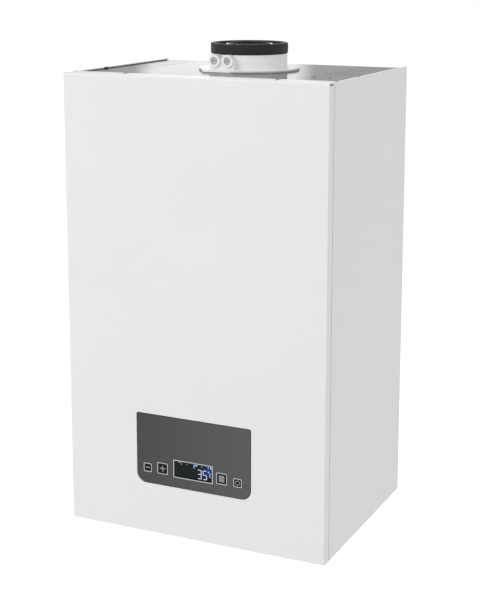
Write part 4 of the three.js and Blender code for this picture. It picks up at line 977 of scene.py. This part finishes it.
def lathe(name, profile, centre, material, slot):
    """A ring about an upright axis: the profile's points are (radius, z) and it closes on itself."""
    bm = bmesh.new()
    rings = []
    for c, s in circle(0, 0, 1, LATHE_SIDES):
        rings.append([bm.verts.new((centre[0] + r * c, centre[1] + r * s, z)) for r, z in profile])
    for i in range(LATHE_SIDES):
        here, after = rings[i], rings[(i + 1) % LATHE_SIDES]
        for j in range(len(profile)):
            k = (j + 1) % len(profile)
            bm.faces.new((here[j], after[j], after[k], here[k]))
    ease(piece(name, mesh_of(name, bm), material, "casing", slot))


def block_mesh(name, boxes):
    """Rectangular blocks, each (x0, x1, y0, y1, z0, z1) in mm."""
    bm = bmesh.new()
    for x0, x1, y0, y1, z0, z1 in boxes:
        made = bmesh.ops.create_cube(bm, size=1)["verts"]
        bmesh.ops.scale(bm, vec=(abs(x1 - x0) * MM, abs(y1 - y0) * MM, abs(z1 - z0) * MM), verts=made)
        bmesh.ops.translate(bm, vec=Vector((x0 + x1, y0 + y1, z0 + z1)) * MM / 2, verts=made)
    return mesh_of(name, bm)


def flange_bead():
    """A grey foam bead under the flue flange, whose grey is also a painted shade for the flange's shaded
    lower rim.
    """
    low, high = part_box("flue_adapter")
    radius = (high.x - low.x) / 2
    centre = ((low.x + high.x) / 2, high.y - radius)
    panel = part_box("top_panel")[1].z
    base = low.z
    profile = [
        (radius - 3 * MM, panel + 0.02 * MM),
        (radius + 0.8 * MM, panel + 0.02 * MM),
        (radius + 1.0 * MM, base + 0.4 * MM),
        (radius + 0.9 * MM, base + 1.2 * MM),
        (radius + 0.4 * MM, base + 1.7 * MM),
        (radius - 0.3 * MM, base + 1.8 * MM),
        (radius - 3 * MM, base + 1.0 * MM),
    ]
    lathe("flange_bead", profile, centre, foam_and_painted_shade, "cap_grey_plastic")


def panel_trim():
    """Dark blocks in the side panels' lip notches, a painted shade for the shadow in them, and dark strips in
    the front cover's joints, which are a rubber seal and also a painted shade for the shadow gap.
    """
    for side, name in ((-1, "left"), (1, "right")):
        low, high = (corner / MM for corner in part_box(name + "_side_panel"))
        edge = low.x if side < 0 else high.x
        near, far = edge - side * 4.6, edge - side * 1.9
        # Dark blocks that fill the lip notches: a painted shade for the shadow in them.
        dark_blocks = [(near, far, y0 + 0.3, y1 - 0.3, high.z - 1.4, high.z + 0.05) for y0, y1 in LIP_NOTCHES]
        blocks("lip_notch_shade_" + name, dark_blocks, slot="seal_rubber", edge=0.2)
        # Dark strips in the cover's joints: a rubber seal, and also a painted shade for the shadow gap.
        strip = (edge - side * 0.6, edge - side * 0.02, low.y - 0.5, low.y + 0.3, low.z + 2, high.z - 2)
        piece("cover_strip_" + name, block_mesh("strip", [strip]), None, "casing", "seal_rubber")


# --- Inside the casing -------------------------------------------------------------------------------
DOOR_X, DOOR_Z = 0.0, -160.0
FAN_X, FAN_Z = 102.0, -190.0


def blocks(name, boxes, material=None, slot=None, edge=0.4):
    """Rectangular blocks in one piece, with eased edges, in mm."""
    ease(piece(name, block_mesh(name, boxes), material, "casing", slot), edge * MM)


def wire(name, points, thick, material, body="casing"):
    """A fixed lead through the points, in mm, laid against what carries it."""
    data = bpy.data.curves.new(name, "CURVE")
    data.dimensions = "3D"
    data.bevel_depth = thick / 2 * MM
    data.bevel_resolution = 3
    data.resolution_u = 10
    data.use_fill_caps = True
    spline = data.splines.new("BEZIER")
    spline.bezier_points.add(len(points) - 1)
    for knot, point in zip(spline.bezier_points, points):
        knot.co = Vector(point) * MM
        knot.handle_left_type = knot.handle_right_type = "AUTO"
    data.materials.append(material)
    item = add_object(name, data)
    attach(item, body)


def hanger_seal():
    """A foam strip round the bracket, between the back frame and the wall, so that no light comes through."""
    low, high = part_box("wall_bracket")
    half, foot = high.x / MM, low.z / MM
    top, gap, broad = 20.0, 0.1, 4.0
    back, front = -0.3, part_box("back_frame")[1].y / MM + 0.1
    strips = [
        (-half - broad, -half - gap, front, back, foot - broad, top + broad),
        (half + gap, half + broad, front, back, foot - broad, top + broad),
        (-half, half, front, back, foot - broad, foot - gap),
        (-half, half, front, back, top + gap, top + broad),
    ]
    blocks("hanger_seal", strips, foam_dark, slot="seal_rubber", edge=0.2)


def burner_door_ribs():
    """Cast spokes on the burner door, and the rim round them."""
    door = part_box("burner_door")[0].y
    ribs = []
    for angle in (60, 90, 120, 150, 210, 240, 270, 300):
        a = math.radians(angle)
        along, across = Vector((math.cos(a), math.sin(a))), Vector((-math.sin(a), math.cos(a)))
        inner, outer, half = 46 if angle % 90 else 36, 76, 1.6
        corners = [along * inner - across * half, along * outer - across * half]
        corners += [along * outer + across * half, along * inner + across * half]
        ribs.append([((DOOR_X + c.x) * MM, (DOOR_Z + c.y) * MM) for c in corners])
    ribs.append((circle(DOOR_X, DOOR_Z * MM, 79 * MM, 96), circle(DOOR_X, DOOR_Z * MM, 75.5 * MM, 96)))
    star = relief("burner_door_ribs", ribs, door - 2 * MM, 2.2 * MM, None, "casing", "cast_aluminium")
    ease(star, 0.6 * MM)


def burner_details():
    nuts = around(DOOR_X, DOOR_Z, 87, 8, 22.5)
    copies("burner_door_nuts", nut_mesh(9, 5), front_seats("burner_door", nuts), "-y", screw_steel)
    burner_door_ribs()
    corners = [(x, z) for x in (-25, 25) for z in (-182, -134)]
    screws("manifold_screws", front_seats("mixing_manifold", corners), "-y", 4, 2.5)
    glass = front_seats("burner_door", [(-56, -117)])
    ring = [(5, -0.5), (9, -0.5), (9, 3), (8, 4), (6, 4), (5, 2.5)]
    copies("sight_glass_ring", turned_mesh("ring", ring), glass, "-y", slot="valve_brass")
    pane = [(0, 0), (5.2, 0), (5.2, 1.6), (0, 2.2)]
    copies("sight_glass", turned_mesh("pane", pane), glass, "-y", slot="display_glass")
    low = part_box("ignition_electrode")[0]
    tip = Vector((38 * MM, low.y + 8 * MM, -118 * MM))
    boot = [(0, -6), (5.5, -6), (5.5, 6), (4, 8), (3.4, 16), (0, 16)]
    copies("electrode_boot", turned_mesh("boot", boot), [tip], "-y", wire_black, slot="black_plastic")
    lead = [(38, -247, -118), (36, -254, -112), (16, -252, -96), (-24, -240, -88), (-62, -232, -112)]
    lead += [(-84, -230, -160), (-88, -231, -210), (-84, -232, -262), (-76, -236, -330), (-66, -250, -385)]
    lead += [(-64, -262, -404)]
    wire("ignition_lead", lead, 5, wire_red)
    dark_blocks = [(-52, -44, -238, -225.5, -96, -88), (-92, -84, -236, -225.5, -204, -197)]
    blocks("lead_clips", dark_blocks, wire_black, slot="black_plastic")


def fan_details():
    screws("fan_screws", front_seats("fan_housing", around(FAN_X, FAN_Z, 45, 6, 30)), "-y", 3, 2)
    screws("mixer_screws", front_seats("gas_air_mixer", around(FAN_X, FAN_Z, 22, 3, 30)), "-y", 2.6, 1.4)
    low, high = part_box("air_silencer")
    ribs = []
    for i in range(15):
        z = high.z / MM - 8 - 9 * i
        ribs.append((low.x / MM + 3, high.x / MM - 3, low.y / MM - 0.9, low.y / MM + 0.3, z - 1.2, z))
    blocks("silencer_ribs", ribs, slot="black_plastic", edge=0.3)
    blocks("fan_plug", [(50, 66, -262, -246, -238, -226)], plug_white)
    lead = [(57, -254, -237), (54, -255, -262), (47, -252, -330), (45, -256, -384), (44, -262, -404)]
    wire("fan_lead", lead, 6, wire_grey)


def gas_valve_details():
    corners = [(x, z) for x in (68, 130) for z in (-359, -311)]
    screws("gas_valve_screws", front_seats("gas_valve", corners), "-y", 3.2, 2)
    cap = [(0, -0.4), (12, -0.4), (12, 0.8), (11, 1.4), (5, 1.4), (4.4, 0.9), (0, 0.9)]
    coil = front_seats("gas_valve", [(84, -335)])
    copies("gas_coil_cap", turned_mesh("cap", cap), coil, "-y", wire_black, slot="black_plastic")
    blocks("gas_plug", [(94, 112, -290, -281, -336, -322)], plug_white)
    for name, x, material in (("blue", 99, wire_blue), ("grey", 103, wire_grey), ("earth", 107, wire_earth)):
        lead = [(x, -286, -335), (x + 1, -288, -344), (x + 2, -288, -370), (104, -272, -404)]
        wire("gas_lead_" + name, lead, 2.4, material)


def pipe_nuts():
    """The union nuts round the pipes' ends."""
    hexagon = [(9.05, 0), (14, 0), (14.6, 0.8), (14.6, 11), (14, 12), (9.05, 12)]
    nut = turned_mesh("union", hexagon, 6)
    y = -115 * MM
    for name, place, axis in (
        ("flow_pipe_top_nut", (-106 * MM, y, -190.4 * MM), "-x"),
        ("return_pipe_top_nut", (106 * MM, y, -190.4 * MM), "+x"),
        ("flow_pipe_foot_nut", (-139.6 * MM, y, -504.6 * MM), "+z"),
        ("return_pipe_foot_nut", (131.6 * MM, y, -422.6 * MM), "+z"),
        ("gas_pipe_nut", (70 * MM, -197.7 * MM, -366 * MM), "-z"),
    ):
        copies(name, nut, [Vector(place)], axis, slot="valve_brass")


def pipe_details():
    band = [(8.1, 0), (8.9, 0), (9.2, 0.4), (9.2, 7.6), (8.9, 8), (8.1, 8)]
    spots = [Vector((0, -185 * MM, -279 * MM)), Vector((-20 * MM, -185 * MM, -417 * MM))]
    copies("hose_bands", turned_mesh("band", band), spots, "+z", screw_steel)
    ears = [(-4, 4, -197, -193, -278, -272), (-24, -16, -197, -193, -416, -410)]
    blocks("hose_band_ears", ears, screw_steel, slot="galvanised_steel")
    sensor = [(-145, -134, -129, -123, -312, -294)]
    blocks("flow_sensor_clip", sensor, wire_black, slot="black_plastic")
    for name, x, material in (("sensor_lead_a", -141, wire_black), ("sensor_lead_b", -138, wire_red)):
        lead = [(x, -128, -311), (x, -134, -330), (x + 8, -190, -372), (x + 20, -244, -392)]
        wire(name, lead + [(-120, -262, -404)], 2, material)
    stem = [(0, -1), (8, -1), (8, 2), (4, 3), (4, 12), (5.5, 12), (5.5, 20), (4.5, 21), (0, 21)]
    valve = front_seats("expansion_vessel", [(-96, -338)])
    copies("vessel_valve", turned_mesh("stem", stem), valve, "-y", slot="valve_brass")
    lead = [(-128, -99, -242), (-128, -104, -262), (-126, -150, -330), (-112, -228, -380)]
    wire("earth_lead", lead + [(-104, -262, -404)], 2.6, wire_earth)


def control_box_details():
    low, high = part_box("control_box_housing")
    face, top, foot = low.y, high.z, low.z
    half, inset = 150 * MM, 3 * MM
    shapes = [(
        rounded(-half, half, foot, top, 0.8 * MM),
        rounded(-half + inset, half - inset, foot + inset, top - inset, 0.5 * MM),
    )]
    for side in (-1, 1):
        for i in range(5):
            x = side * (98 + 8 * i) * MM
            shapes.append(bar(x - 1.1 * MM, x + 1.1 * MM, foot + 22 * MM, top - 22 * MM, 1 * MM))
    ribs = relief("control_box_ribs", shapes, face - 0.9 * MM, 1.1 * MM, None, "casing", "black_plastic")
    ease(ribs, 0.3 * MM)
    corners = [(x, z) for x in (-141, 141) for z in (foot / MM + 9, top / MM - 9)]
    screws("control_box_screws", front_seats("control_box_housing", corners), "-y", 3.2, 1.6)
    arms = [(x, -438) for x in (-172, 172)]
    screws("control_box_arm_screws", front_seats("control_box_housing", arms), "-y", 4.2, 2.2)
    grommet = [(2.2, -0.5), (7, -0.5), (7, 1.2), (5.5, 2), (5, 4), (2.2, 4)]
    places = [(-120, -262), (-104, -262), (-64, -262), (44, -262), (104, -272)]
    spots = [Vector((x * MM, y * MM, top)) for x, y in places]
    copies("cable_grommets", turned_mesh("grommet", grommet), spots, "+z", slot="seal_rubber")
    latches = [(x - 7, x + 7, -292, -284, top / MM - 1, top / MM + 2.5) for x in (-90, 0, 80)]
    blocks("control_box_latches", latches, slot="black_plastic")


def make_all():
    make_camera()
    make_world()
    make_floor()
    make_card()
    lamp("key_light", (-2.2, -3.4, 2.6), 95)
    lamp("side_light", (3.8, -1.0, 1.8), 18)
    dress_nodes()
    key_signs()
    display()
    casing_screws()
    flange_bead()
    panel_trim()
    hanger_seal()
    burner_details()
    fan_details()
    gas_valve_details()
    pipe_nuts()
    pipe_details()
    control_box_details()


make_all()

scene.view_settings.view_transform = "Standard"
